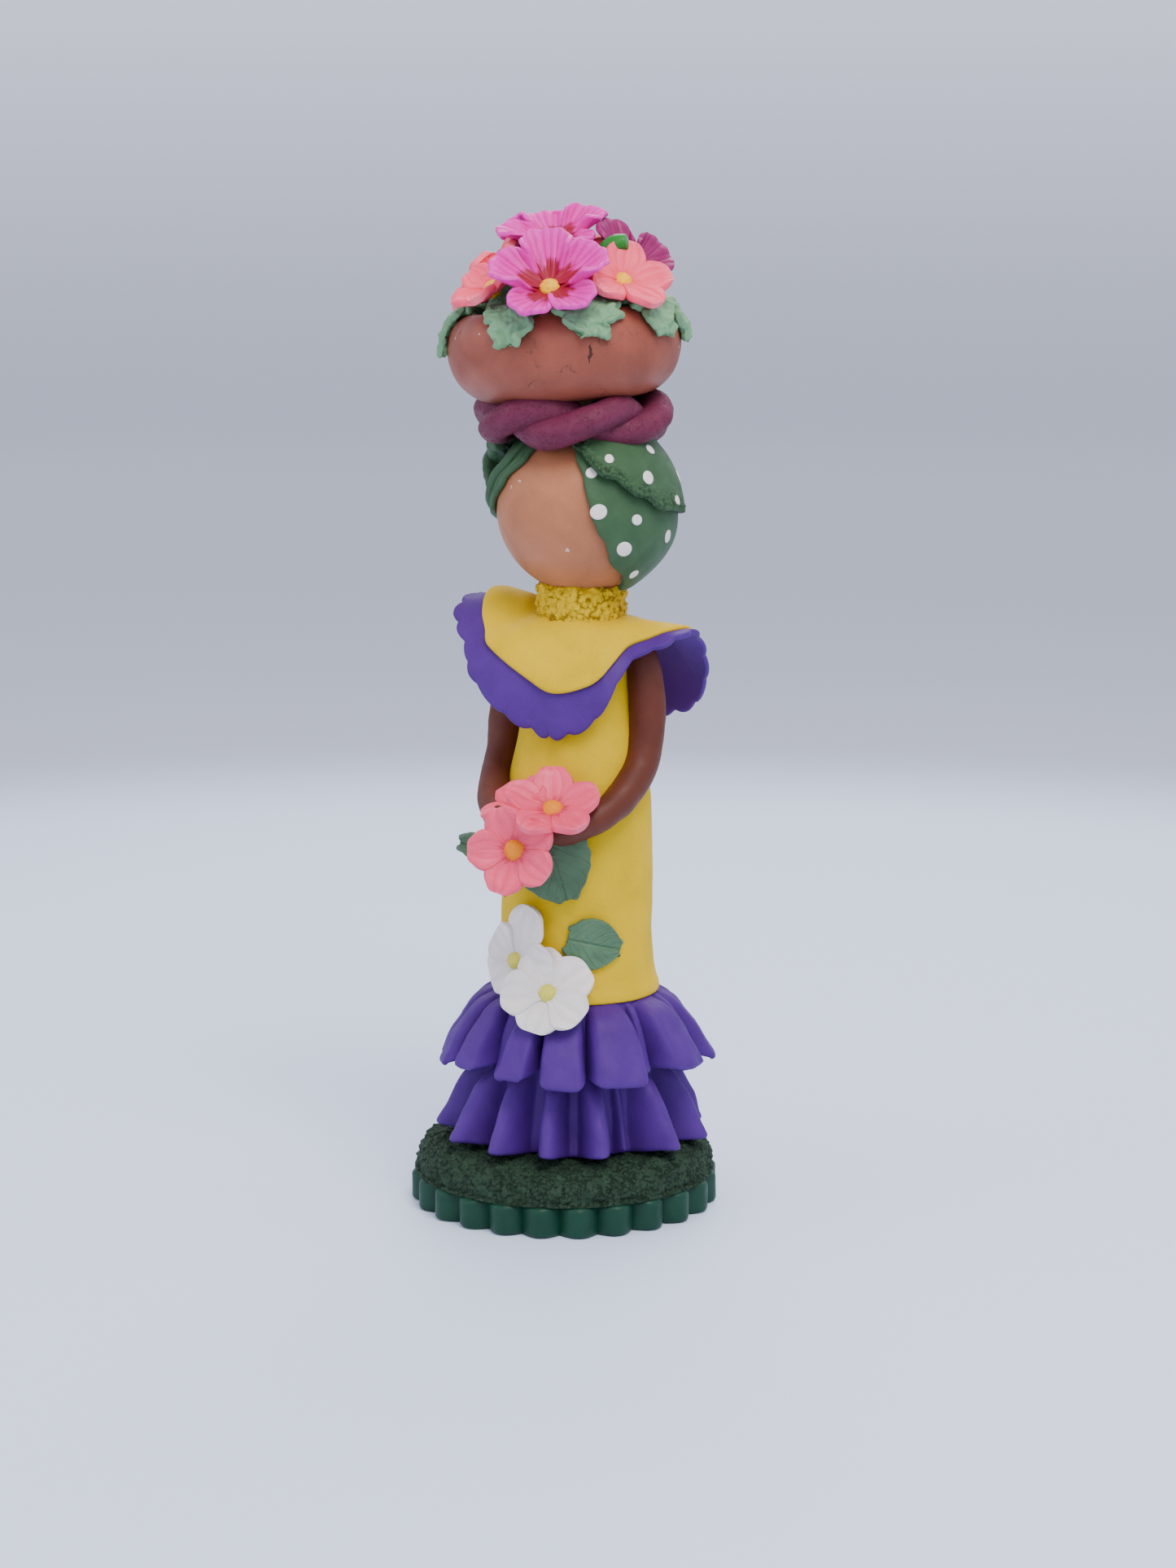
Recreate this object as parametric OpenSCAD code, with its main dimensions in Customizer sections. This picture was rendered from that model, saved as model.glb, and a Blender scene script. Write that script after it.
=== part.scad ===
// Faceless clay folk doll: a woman in a yellow dress, with a posy in her hands
// and a bowl of flowers carried on her head. Millimetres, +Z up, front to -Y.
// The origin is the centre of the base's underside.

/* [Base] */
// Diameter of the fluted base over the crests
base_d = 55; // [52:1:58]
// Height of the fluted base
base_h = 5.5; // [4:0.5:7]
// Number of flutes around the base
flute_count = 24; // [20:1:30]
// Height of the grass pad on the base
grass_h = 5.5; // [4:0.5:6]

/* [Figure] */
// Sideways lean of the figure on its base, in degrees
lean = 1; // [0:0.5:2]
// Radius of the dress at the hips
hip_r = 13.3; // [12.5:0.1:14]
// Radius of the dress at the bust
bust_r = 9.6; // [9:0.1:10.5]
// Radius of the round head
head_r = 15; // [14:0.5:15.5]
// Radius of the neck, under its band
neck_r = 6.3; // [6:0.1:6.8]
// Thickness of the rolled clay sheets
sheet_t = 1; // [0.8:0.1:1.3]
// Number of pleats in each skirt ruffle
pleats = 13; // [11:1:15]
// Number of scallops around the cape
scallops = 30; // [24:2:34]

/* [Headdress] */
// Radius of each strand of the head ring
strand_r = 2.9; // [2.6:0.1:3.1]
// Turns that each strand makes around the other
strand_turns = 3; // [2:1:4]
// Greatest radius of the bowl
bowl_r = 20.3; // [19:0.1:21]
// Radius of a large magenta flower
magenta_r = 10.3; // [9:0.1:11]
// Radius of a small pink flower
pink_r = 7.8; // [7:0.1:8.5]

/* [Core] */
// Diameter of the wooden rod through the figure
rod_d = 2.5; // [2:0.5:3]

/* [Hidden] */
$fn = 48;
front_view = 24;              // the flowers are arranged to be seen from this azimuth
figure_at = [1.3, 0.3, 0];    // where the figure's axis meets the floor plane
ring_at = [1.4, 0.6, 139.8];  // centre of the head ring
bowl_at = [0.7, 0.3, 142.6];  // centre of the bowl's underside
bowl_tilt = [0, -4, 0];       // the bowl sits a little lower on the figure's right
grass_top = base_h + grass_h;
waist_z = 39;                 // where the upper ruffle leaves the dress
shoulder_z = 103;             // top of the dress
band_z = [104.8, 110.6];      // the neck band's lower and upper edge
head_z = 124.3;
ring_r = 13;                  // radius of the head ring's centre line
strand_shift = 1.9;           // from the ring's centre line to a strand's own
bed_z = 15;                   // height of the bowl's rim, where the flower bed starts
clay_yellow = [0.88, 0.74, 0.06];
clay_purple = [0.36, 0.25, 0.66];
clay_skin = [0.72, 0.5, 0.37];
clay_arm = [0.47, 0.27, 0.19];
clay_bowl = [0.58, 0.36, 0.29];
clay_plum = [0.5, 0.22, 0.38];
clay_scarf = [0.32, 0.5, 0.36];
clay_leaf = [0.4, 0.58, 0.43];
clay_magenta = [0.88, 0.36, 0.72];
clay_pink = [0.98, 0.62, 0.63];
clay_white = [0.9, 0.88, 0.86];
centre_yellow = [0.98, 0.8, 0.08];

// Flowers in the bowl: [x, y, z, way it faces round the axis, its elevation, spin]
magenta_places = [
    [4.9, -15.0, 18.8, front_view, 54, 12],
    [0, -1.2, 26.6, 34, 74, 20],
    [13.4, 3.2, 23.0, 74, 30, 0],
    [-6.5, 8.5, 24.0, 214, 46, 30],
];
pink_places = [
    [13.6, -5.2, 19.2, 56, 46, -28],
    [-7.4, -12.0, 19.4, -36, 50, 0],
    [-11.0, -3.2, 23.0, -66, 50, 24],
    [3.2, 14.0, 19.6, 170, 34, 8],
    [-14.0, 6.0, 18.6, 250, 28, 30],
];
// Leaves over the bowl's rim: [angle from the front, length, width]
rim_leaves = [
    [-66, 12.5, 8.5],
    [-3, 11.5, 9.5],
    [38, 11.0, 11.5],
    [80, 11.5, 9.5],
    [108, 12.5, 9.5],
    [160, 11.5, 10],
    [206, 12.0, 10],
    [250, 11.5, 9.5],
];
// Posy flowers in the figure's frame, as in magenta_places
posy_places = [
    [3.4, -18.4, 73.4, 24, 56, 0],
    [-1.5, -22.6, 67.4, 12, 8, 20],
    [-6.6, -15.2, 72.4, -44, 58, 12],
];
white_places = [
    [-4.6, -14.0, 45.8, -20, 4, -18],
    [2.4, -16.8, 41.0, 12, 28, 20],
];
// Where the scarf leaves the face bare, on the figure's left and then on its right:
// [height over the head's centre plus 20, angle from the front]
left_edge = [[0, 80], [5.3, 74], [7.3, 66], [12.2, 43], [17.4, 33], [20, 29], [26.6, 24],
    [30.5, 17], [40, 4]];
right_edge = [[0, 102], [10, 98], [16, 90], [20, 58], [25, 41], [29.4, 25], [40, 4]];
// Dots on the scarf: [angle from the front, height over the head's centre, radius, on the fold]
dot_places = [
    [31.6, 7, 0.95, false], [36, 0.5, 1.3, false], [61, -1, 0.9, false],
    [54, -6.1, 1.3, false], [93, -4.9, 1.05, false], [91, -12, 0.85, false],
    [43, 9.4, 0.8, true], [69, 6, 1.2, true], [94, 0.9, 0.9, true],
    [84, 10.4, 0.9, true], [116, 5.5, 1.1, true], [120, -7.6, 1.1, false],
    [142, 2.4, 0.9, true], [146, -9, 1.2, false], [164, 7, 1.1, true],
    [172, -4.6, 0.9, false], [190, 2.6, 1.2, true], [198, -10, 1, false],
    [216, -3, 1.1, false], [230, 8, 0.9, true], [246, -7, 1.2, false],
    [262, -0.6, 0.8, false],
];

// ---- small helpers ----

function unit(v) = v / norm(v);
function polar(r, angle, z) = [r * sin(angle), -r * cos(angle), z];
function mix(a, b, t) = a + (b - a) * t;
function steps(n) = [for (k = [0:n]) k / n];

// A smooth curve through points, at n places from each point to the next
function curve(points, n) = let (last = len(points) - 1)
    concat([for (k = [0:last - 1], t = [0:1 / n:0.999])
        let (a = points[max(k - 1, 0)], b = points[k],
            c = points[k + 1], d = points[min(k + 2, last)])
        0.5 * (2 * b + (c - a) * t + (2 * a - 5 * b + 4 * c - d) * t * t
            + (3 * b - a - 3 * c + d) * t * t * t)],
        [points[last]]);

// A value read from a table of [angle, value] pairs, eased between them
function eased(angle, table) = let (a = (angle + 360) % 360,
    k = max([for (m = [0:len(table) - 2]) table[m][0] <= a ? m : 0]),
    t = (a - table[k][0]) / (table[k + 1][0] - table[k][0]))
    mix(table[k][1], table[k + 1][1], (1 - cos(180 * t)) / 2);

function quad(a, b, c, d) = [[a, b, c], [a, c, d]];

function grid_normal(grid, i, j, wrap) = let (ni = len(grid), nj = len(grid[0]),
    before = wrap ? (i + ni - 1) % ni : max(i - 1, 0),
    after = wrap ? (i + 1) % ni : min(i + 1, ni - 1))
    unit(cross(grid[after][j] - grid[before][j],
        grid[i][min(j + 1, nj - 1)] - grid[i][max(j - 1, 0)]));

// A sheet of clay: grid is its outer face, row by row, and thick its thickness
module slab(grid, thick, wrap = false) {
    ni = len(grid);
    nj = len(grid[0]);
    under = [for (i = [0:ni - 1]) [for (j = [0:nj - 1])
        grid[i][j] - thick * grid_normal(grid, i, j, wrap)]];
    function top(i, j) = (i % ni) * nj + j;
    function low(i, j) = ni * nj + top(i, j);
    rows = wrap ? ni - 1 : ni - 2;
    ends = wrap ? [] : [for (j = [0:nj - 2]) each concat(
        quad(top(0, j), low(0, j), low(0, j + 1), top(0, j + 1)),
        quad(top(ni - 1, j), top(ni - 1, j + 1), low(ni - 1, j + 1), low(ni - 1, j)))];
    faces = [for (i = [0:rows], j = [0:nj - 2]) each concat(
        quad(top(i, j), top(i, j + 1), top(i + 1, j + 1), top(i + 1, j)),
        quad(low(i, j), low(i + 1, j), low(i + 1, j + 1), low(i, j + 1)))];
    edges = [for (i = [0:rows]) each concat(
        quad(top(i, 0), top(i + 1, 0), low(i + 1, 0), low(i, 0)),
        quad(top(i, nj - 1), low(i, nj - 1), low(i + 1, nj - 1), top(i + 1, nj - 1)))];
    polyhedron([for (row = concat(grid, under)) each row], concat(faces, edges, ends));
}

// A round roll of clay along path; radii has one radius for each point
module roll(path, radii, sides = 10, across = [0, 0, 1], loop = false) {
    n = len(path);
    function ahead(i) = unit(path[loop ? (i + 1) % n : min(i + 1, n - 1)]
        - path[loop ? (i + n - 1) % n : max(i - 1, 0)]);
    function spot(i, k) = (i % n) * sides + k % sides;
    rings = [for (i = [0:n - 1]) let (side = unit(cross(ahead(i), across)),
        over = cross(ahead(i), side))
        for (k = [0:sides - 1]) path[i]
            + radii[i] * (side * cos(360 * k / sides) + over * sin(360 * k / sides))];
    walls = [for (i = [0:loop ? n - 1 : n - 2], k = [0:sides - 1])
        each quad(spot(i, k), spot(i + 1, k), spot(i + 1, k + 1), spot(i, k + 1))];
    caps = loop ? [] : [for (k = [0:sides - 1])
        each [[n * sides, spot(0, k), spot(0, k + 1)],
            [n * sides + 1, spot(n - 1, k + 1), spot(n - 1, k)]]];
    polyhedron(concat(rings, loop ? [] : [path[0], path[n - 1]]), concat(walls, caps));
}

// Puts a child that faces +Z at a place, facing round by angle and up by rise
module facing(place) {
    translate([place[0], place[1], place[2]]) rotate([0, 0, place[3]])
        rotate([90 - place[4], 0, 0]) rotate([0, 0, place[5]]) children();
}

module figure() { translate(figure_at) rotate([0, lean, 0]) children(); }
module on_bowl() { translate(bowl_at) rotate(bowl_tilt) children(); }

module rod_hole() {
    figure() translate([0, 0, 2]) cylinder(d = rod_d, h = 147);
}

// ---- base ----

module fluted_base() {
    flute_r = base_d * PI / flute_count / 2;
    color("darkgreen") difference() {
        linear_extrude(base_h) union() {
            circle(r = base_d / 2 - 1.3, $fn = 96);
            for (k = [0:flute_count - 1]) rotate(360 * k / flute_count)
                translate([base_d / 2 - flute_r * 0.8, 0]) circle(r = flute_r * 0.8);
        }
        rod_hole();
    }
}

module grass_pad() {
    edge_r = base_d / 2 - 1.5;
    shoulder = [for (t = steps(5)) [edge_r - 2 * (1 - cos(90 * t)),
        base_h + grass_h - 2 + 2 * sin(90 * t)]];
    color([0.16, 0.25, 0.15]) difference() {
        rotate_extrude($fn = 96) polygon(concat([[0, base_h], [edge_r, base_h]],
            shoulder, [[0, grass_top]]));
        rod_hole();
    }
}

module core_rod() {
    color("burlywood") rod_hole();
}

// ---- dress ----

// Outline of the dress from the grass up to the neck, shrunk by inset
function dress_outline(inset) = curve([
    [hip_r + 0.8 - inset, grass_top], [hip_r - inset, 26], [hip_r - inset, 46],
    [hip_r - 0.1 - inset, 64], [hip_r - 0.8 - inset, 74], [bust_r + 1.1 - inset, 82],
    [bust_r + 0.2 - inset, 90], [bust_r - inset, 97],
    [bust_r - 1.4 - inset, shoulder_z - inset]], 4);

module body_core() {
    color([0.6, 0.5, 0.4]) difference() {
        figure() rotate_extrude() polygon(concat([[0, grass_top]],
            dress_outline(sheet_t), [[0, shoulder_z - sheet_t]]));
        rod_hole();
    }
}

module dress() {
    color(clay_yellow) difference() {
        figure() rotate_extrude() polygon(concat([[0, grass_top]],
            dress_outline(0), [[0, shoulder_z]]));
        figure() rotate_extrude() polygon(concat([[0, grass_top - 1]],
            [for (p = dress_outline(sheet_t)) p[1] > grass_top ? p : [p[0], p[1] - 1]],
            [[0, shoulder_z - sheet_t]]));
        rod_hole();
    }
}

// A pleated strip: it leaves the dress at top_z and swings out and down to low_z
module ruffle(top_z, low_z, flare, turn) {
    samples = pleats * 8;
    function wave(a) = (1 + cos(pleats * a + 26 * sin(2 * a) + turn)) / 2;
    grid = [for (i = [0:samples - 1]) let (a = 360 * i / samples, w = wave(a))
        [for (t = steps(4)) let (drop = 1 - t,
            out = mix(0.35, 1, w) * sin(80 * drop) * flare
                - w * 1.2 * max(0, drop - 0.75) * 4,
            fall = drop * (0.55 + 0.45 * drop) - 0.12 * w * sin(180 * drop))
            polar(hip_r + sheet_t + 0.25 + out, a, mix(top_z, low_z + w * 0.8, fall))]];
    color(clay_purple) figure() slab(grid, sheet_t, wrap = true);
}

module lower_ruffle() { ruffle(28.4, grass_top + 1, 9.6, 0); }
module upper_ruffle() { ruffle(waist_z, 26, 10.6, 150); }

// ---- neck, cape and arms ----

module neck() {
    color(clay_arm) difference() {
        figure() translate([0, 0, shoulder_z]) cylinder(r = neck_r, h = band_z[1] - shoulder_z);
        figure() translate([0, 0, head_z]) sphere(r = head_r, $fn = 96);
        rod_hole();
    }
}

module neck_band() {
    color(clay_yellow) difference() {
        figure() translate([0, 0, band_z[0]])
            cylinder(r = neck_r + 1.4, h = band_z[1] - band_z[0]);
        figure() translate([0, 0, band_z[0] - 1])
            cylinder(r = neck_r, h = band_z[1] - band_z[0] + 2);
        figure() translate([0, 0, head_z]) sphere(r = head_r, $fn = 96);
    }
}

// The cape's hem all round, from the front by way of the figure's left:
// its distance from the axis and its height
hem_r = [[0, 13], [30, 13.8], [40, 14.6], [50, 14.4], [60, 15], [72, 18.6], [84, 19.8],
    [100, 21.2], [110, 22.2], [121, 22.6], [132, 21.8], [142, 20.2], [160, 16.8],
    [180, 15], [200, 15.6], [218, 17.8], [235, 19.6], [250, 20.6], [262, 21.4],
    [278, 21.8], [290, 21.9], [300, 21], [309, 20.8], [319, 18.8], [334, 16.2],
    [346, 14.2], [360, 13]];
hem_z = [[0, 85.2], [30, 87.6], [40, 90.6], [50, 94.9], [60, 99], [72, 101.8],
    [84, 103.8], [100, 103.6], [110, 100.8], [121, 95.1], [132, 88.6], [142, 87],
    [160, 85.6], [180, 85.2], [200, 86], [218, 89], [235, 96.5], [250, 104],
    [262, 107.8], [278, 107.4], [290, 104.5], [300, 100.2], [309, 96], [319, 92.6],
    [334, 88.4], [346, 86.3], [360, 85.2]];
// The yellow collar's share of the cape's width, all round
collar_share = [[0, 0.73], [24, 0.73], [48, 0.7], [62, 0.67], [74, 0.68], [86, 0.78],
    [100, 0.8], [130, 0.74], [180, 0.72], [230, 0.7], [262, 0.68], [290, 0.67],
    [304, 0.62], [316, 0.58], [330, 0.59], [344, 0.63], [360, 0.73]];

// A closed table read as one flowing curve all round
function ahead(table, k) = let (n = len(table) - 1, m = k % n,
    a = m == 0 ? table[n - 1] - [360, 0] : table[m - 1], b = table[m + 1])
    (b[1] - a[1]) / (b[0] - a[0]);
function flowing(angle, table) = let (a = (angle + 360) % 360,
    k = max([for (m = [0:len(table) - 2]) table[m][0] <= a ? m : 0]),
    w = table[k + 1][0] - table[k][0], t = (a - table[k][0]) / w,
    t2 = t * t, t3 = t2 * t)
    (2 * t3 - 3 * t2 + 1) * table[k][1] + (3 * t2 - 2 * t3) * table[k + 1][1]
        + w * ((t3 - 2 * t2 + t) * ahead(table, k) + (t3 - t2) * ahead(table, k + 1));
function swell(t) = let (c = max(0, min(1, t))) c * c * (3 - 2 * c);

// A point of the cape: where it falls steeply it first runs out and then bends down
// Over the figure's right shoulder the cape is pushed up beside the neck.
function cape_point(a, s) = let (r0 = neck_r + 1.2, z0 = band_z[0] - 0.2,
    low = flowing(a, hem_z), steep = 0.85 * max(0, min(1, (z0 - low) / 14)),
    up = 2.2 * swell(1 - abs(a - 262) / 48) * swell(s * 5) * (1 - swell(2 * s - 1)))
    polar(mix(r0, flowing(a, hem_r), mix(s, sin(90 * s), steep)), a,
        up + mix(z0, low, mix(s, 1 - cos(90 * s), steep)));

module cape_ruffle() {
    grid = [for (i = [0:scallops * 4 - 1]) let (a = 90 * i / scallops,
        lobe = 1 + 0.055 * abs(sin(scallops * a / 2)) - 0.04)
        [for (t = steps(4)) cape_point(a, mix(lobe, 0.12, t))]];
    color(clay_purple) figure() slab(grid, sheet_t, wrap = true);
}

module cape_collar() {
    lift = [0, 0, sheet_t + 0.15];
    grid = [for (i = [0:47]) let (a = 7.5 * i)
        [for (t = steps(4)) let (s = mix(flowing(a, collar_share), 0.05, t),
            out = unit(polar(1, a, 0)) * (sheet_t + 0.2) * s)
            cape_point(a, s) + lift * (1 - 0.6 * s) + out]];
    color(clay_yellow) figure() slab(grid, sheet_t * 0.9, wrap = true);
}

module arm(side) {
    path = curve([for (p = [[9.8, 0.4, 101], [12.2, 0.4, 97.5], [13.4, 0, 88],
        [13.3, -2, 80.5], [12.4, -7, 75.8], [10.2, -12.4, 72.4], [6, -16.6, 70.4],
        [3, -18, 70]]) [side * p[0] - 0.5, p[1], p[2]]], 3);
    sizes = curve([[1.6, 0], [2.9, 0], [3.1, 0], [3.1, 0], [2.9, 0], [2.5, 0],
        [2.3, 0], [1.2, 0]], 3);
    color(clay_arm) figure() roll(path, [for (s = sizes) s[0]], 12, [1, 0, 0]);
}

module right_arm() { arm(-1); }
module left_arm() { arm(1); }

// ---- head and scarf ----

module head() {
    color(clay_skin) difference() {
        figure() translate([0, 0, head_z]) sphere(r = head_r, $fn = 96);
        rod_hole();
    }
}

function scarf_point(a, h, r) = let (flat = sqrt(max(r * r - h * h, 1)))
    polar(flat, a, head_z + h);

module scarf_wrap() {
    grid = [for (s = steps(32)) [for (t = steps(7)) let (h = mix(-13.4, 13.4, t),
        a = mix(eased(h + 20, left_edge), 360 - eased(h + 20, right_edge), s),
        bag = 1.1 * exp(-pow((h + 6) / 6, 2)) * sin(180 * s))
        scarf_point(a, h, head_r + 0.1 + sheet_t + bag)]];
    color(clay_scarf) figure() slab(grid, sheet_t);
}

// The second turn of the scarf, from the brow round the figure's left to the knot
module scarf_fold() {
    hem = [[0, 11.4], [8, 10], [48, 2.5], [67, -0.5], [100, -1.2], [150, -1], [200, 2],
        [240, 5]];
    grid = [for (s = steps(28)) let (a = mix(15, 246, s), low = eased(a - 12, hem))
        [for (t = steps(4)) let (h = mix(low, 13.4, t),
            out = 0.7 * sin(180 * s) * (1 - t))
            scarf_point(a, h, head_r + 2 * sheet_t + 0.35 + out)]];
    color(clay_scarf) figure() slab(grid, sheet_t);
}

// The two ends of the scarf, rolled over each other behind the right temple
module scarf_knot() {
    module tail(points, sizes) {
        roll(curve(points, 3), [for (s = curve([for (v = sizes) [v, 0]], 3)) s[0]], 10);
    }
    color(clay_scarf) figure() translate([0, 0, head_z]) {
        tail([polar(16.8, -126, 2), polar(17.6, -114, 5), polar(17.4, -100, 8),
            polar(16, -84, 10), polar(14.6, -74, 10.4)], [0.7, 1.5, 1.9, 1.5, 0.6]);
        tail([polar(16.8, -86, 2.6), polar(18.6, -94, 4.4), polar(19.4, -101, 7.8),
            polar(16.6, -112, 10.6), polar(14.6, -122, 11.4)], [0.7, 1.4, 1.7, 1.4, 0.6]);
    }
}

module scarf_dots() {
    color("white") figure() for (d = dot_places) {
        r = head_r + (d[3] ? 2 * sheet_t + 0.7 : sheet_t + 0.4);
        flat = sqrt(r * r - d[1] * d[1]);
        translate([0, 0, head_z]) rotate([0, 0, d[0]]) rotate([90 - asin(d[1] / r), 0, 0])
            translate([0, 0, r]) cylinder(r = d[2], h = 0.35, $fn = 24);
    }
}

// ---- head ring and bowl ----

module ring_strand(turn) {
    path = [for (k = [0:53]) let (a = 360 * k / 54, twist = strand_turns * a + turn)
        polar(ring_r + strand_shift * cos(twist), a, strand_shift * sin(twist))];
    color(clay_plum) translate(ring_at)
        roll(path, [for (p = path) strand_r], 8, loop = true);
}

module ring_strand_a() { ring_strand(85); }
module ring_strand_b() { ring_strand(265); }

module bowl() {
    outside = curve([[8.5, 0], [13.6, 1], [18.2, 4.4], [bowl_r, 9.2], [19.4, 13],
        [16.4, bed_z + 0.6], [13.4, bed_z - 0.4], [10, bed_z - 2.6]], 4);
    color(clay_bowl) difference() {
        on_bowl() rotate_extrude($fn = 96)
            polygon(concat([[0, 0]], outside, [[0, bed_z - 2.6]]));
        rod_hole();
    }
}

module flower_bed() {
    dome = [for (t = steps(8)) [13.2 * cos(90 * t), bed_z - 1.6 + 12 * sin(90 * t)]];
    color(clay_leaf) on_bowl() rotate_extrude()
        polygon(concat([[0, bed_z - 2.6], [10.2, bed_z - 2.6]], dome));
}

// ---- flowers and leaves ----

// One broad petal: it starts at the centre and opens along +Y
module petal(reach, width, rise) {
    grid = [for (s = steps(5)) let (x = 2 * s - 1) [for (t = steps(4)) let (
        half = width / 2 * (0.2 + 0.8 * sin(112 * pow(t, 0.8))),
        tip = reach * (1 - 0.2 * x * x) * t)
        [x * half, 0.9 + tip, rise * pow(t, 1.6) + 0.7 * x * x * t - 0.4 * sin(180 * t)]]];
    slab(grid, sheet_t * 0.8);
}

module cupped_flower(place) {
    color(clay_magenta) on_bowl() facing(place) for (k = [0:4])
        rotate([0, 0, 72 * k]) translate([0, 0, 0.3 * (k % 2)]) rotate([0, 3, 0])
            petal(magenta_r - 0.9, magenta_r * 1.24, magenta_r * 0.3);
}

// A blossom cut from one sheet, with five round petals lifted to a shallow cup
module blossom(r, rise) {
    grid = [for (i = [0:39]) let (a = -9 * i,
        reach = r * (0.5 + 0.5 * pow(abs(cos(2.5 * a)), 0.55)))
        [for (t = steps(3)) let (d = mix(1.1, reach, t))
            [d * cos(a), d * sin(a), rise * pow(d / r, 1.5)
                + 0.9 * (1 - cos(5 * a)) * t * t * 0.5]]];
    slab(grid, sheet_t, wrap = true);
}

module pink_flower(place) {
    color(clay_pink) on_bowl() facing(place) blossom(pink_r, 2.8);
}

module posy_flower(place) {
    color(clay_pink) figure() facing(place) blossom(8.3, 3);
}

module white_flower(place) {
    color(clay_white) figure() facing(place) blossom(9, 1.6);
}

// The button in a flower's middle: a ball pressed half into the petals
module button(place, r) {
    color(centre_yellow) facing(place) translate([0, 0, r * 0.35]) sphere(r = r, $fn = 32);
}

module magenta_centres() { on_bowl() for (p = magenta_places) button(p, 1.9); }
module pink_centres() { on_bowl() for (p = pink_places) button(p, 1.6); }
module posy_centres() { figure() for (p = posy_places) button(p, 1.9); }
module white_centres() { figure() for (p = white_places) button(p, 1.5); }

module bud() {
    color("forestgreen") on_bowl() roll(curve([[7.2, -0.6, 23.6], [8.6, -0.4, 26.2],
        [10, 0, 27.8], [11.6, 0.4, 28.8]], 3), [0.8, 1.3, 1.6, 1.7, 1.7, 1.7, 1.6, 1.3, 0.9, 0.5],
        10);
}

// Half the width of a jagged leaf, at t of the way to its tip
function jagged(wide, t) = wide / 2 * pow(sin(180 * (0.08 + 0.88 * t)), 0.7)
    * (0.86 + 0.14 * cos(1260 * t));

// A jagged leaf that starts at the origin, runs along +Y and curls down by bend degrees
module leaf(long, wide, bend) {
    grid = [for (s = steps(4)) let (x = 2 * s - 1) [for (t = steps(8)) let (
        turn = bend * t, run = sin(turn) * 180 / PI / bend,
        fall = (1 - cos(turn)) * 180 / PI / bend)
        [x * jagged(wide, t), long * run, -long * fall - 0.5 * x * x]]];
    slab(grid, sheet_t * 0.8);
}

// A leaf pressed over the bowl's rim and down its outside
module rim_leaf(n) {
    way = rim_leaves[n - 1];
    lie = curve([[13, 16.6], [16.4, 17.2], [19.6, 15.6], [21.1, 12.4], [21.6, 8.6]], 4);
    grid = [for (s = steps(4)) let (x = 2 * s - 1) [for (t = steps(8)) let (
        along = (1 - t) * (way[1] - 1) / 12,
        k = min(along, 1) * 15, low = floor(k), p = mix(lie[low], lie[low + 1], k - low))
        polar(p[0], way[0] + x * jagged(way[2], 1 - t) * 180 / PI / p[0], p[1])]];
    color(clay_leaf) on_bowl() slab(grid, sheet_t * 0.8);
}

module posy_hub() {
    color(clay_leaf) figure() translate([-0.5, -18.2, 70.4]) sphere(r = 3.4, $fn = 32);
}

module posy_leaf_right() {
    color(clay_leaf) figure() facing([1.6, -17.2, 70.6, 26, 12, 196]) leaf(13, 11.5, 30);
}

module posy_leaf_left() {
    color(clay_leaf) figure() facing([-5.4, -18.6, 70.2, -10, 20, 82]) leaf(10, 4.6, 24);
}

module posy_leaf_lower() {
    color(clay_leaf) figure() facing([-3.4, -19.6, 67.6, -10, 4, 160]) leaf(9.5, 6.4, 20);
}

module dress_leaf() {
    color(clay_leaf) figure() facing([4, -14.4, 49.8, 36, 4, -104]) leaf(11, 8.8, 44);
}

fluted_base();
grass_pad();
core_rod();
body_core();
dress();
lower_ruffle();
upper_ruffle();
neck();
neck_band();
cape_ruffle();
cape_collar();
right_arm();
left_arm();
head();
scarf_wrap();
scarf_fold();
scarf_knot();
scarf_dots();
ring_strand_a();
ring_strand_b();
bowl();
flower_bed();
cupped_flower(magenta_places[0]);  // magenta_flower_front
cupped_flower(magenta_places[1]);  // magenta_flower_top
cupped_flower(magenta_places[2]);  // magenta_flower_right
cupped_flower(magenta_places[3]);  // magenta_flower_back
magenta_centres();
pink_flower(pink_places[0]);  // pink_flower_right
pink_flower(pink_places[1]);  // pink_flower_left
pink_flower(pink_places[2]);  // pink_flower_side
pink_flower(pink_places[3]);  // pink_flower_back
pink_flower(pink_places[4]);  // pink_flower_rear
pink_centres();
bud();
rim_leaf(1);  // rim_leaf_1
rim_leaf(2);  // rim_leaf_2
rim_leaf(3);  // rim_leaf_3
rim_leaf(4);  // rim_leaf_4
rim_leaf(5);  // rim_leaf_5
rim_leaf(6);  // rim_leaf_6
rim_leaf(7);  // rim_leaf_7
rim_leaf(8);  // rim_leaf_8
posy_hub();
posy_flower(posy_places[0]);  // posy_flower_top
posy_flower(posy_places[1]);  // posy_flower_front
posy_flower(posy_places[2]);  // posy_flower_left
posy_centres();
posy_leaf_right();
posy_leaf_left();
posy_leaf_lower();
white_flower(white_places[0]);  // white_flower_left
white_flower(white_places[1]);  // white_flower_right
white_centres();
dress_leaf();
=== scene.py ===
"""Looks for a faceless clay folk doll with a posy in her hands and a bowl of flowers on
her head. Every piece is made of rolled, cut and pressed clay. Shapes are worked out in
millimetres in the doll's own frame: +Z up, front to -Y, origin under the base.
"""

import bisect
import math

import bpy
from mathutils import Matrix, Vector, noise


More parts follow.
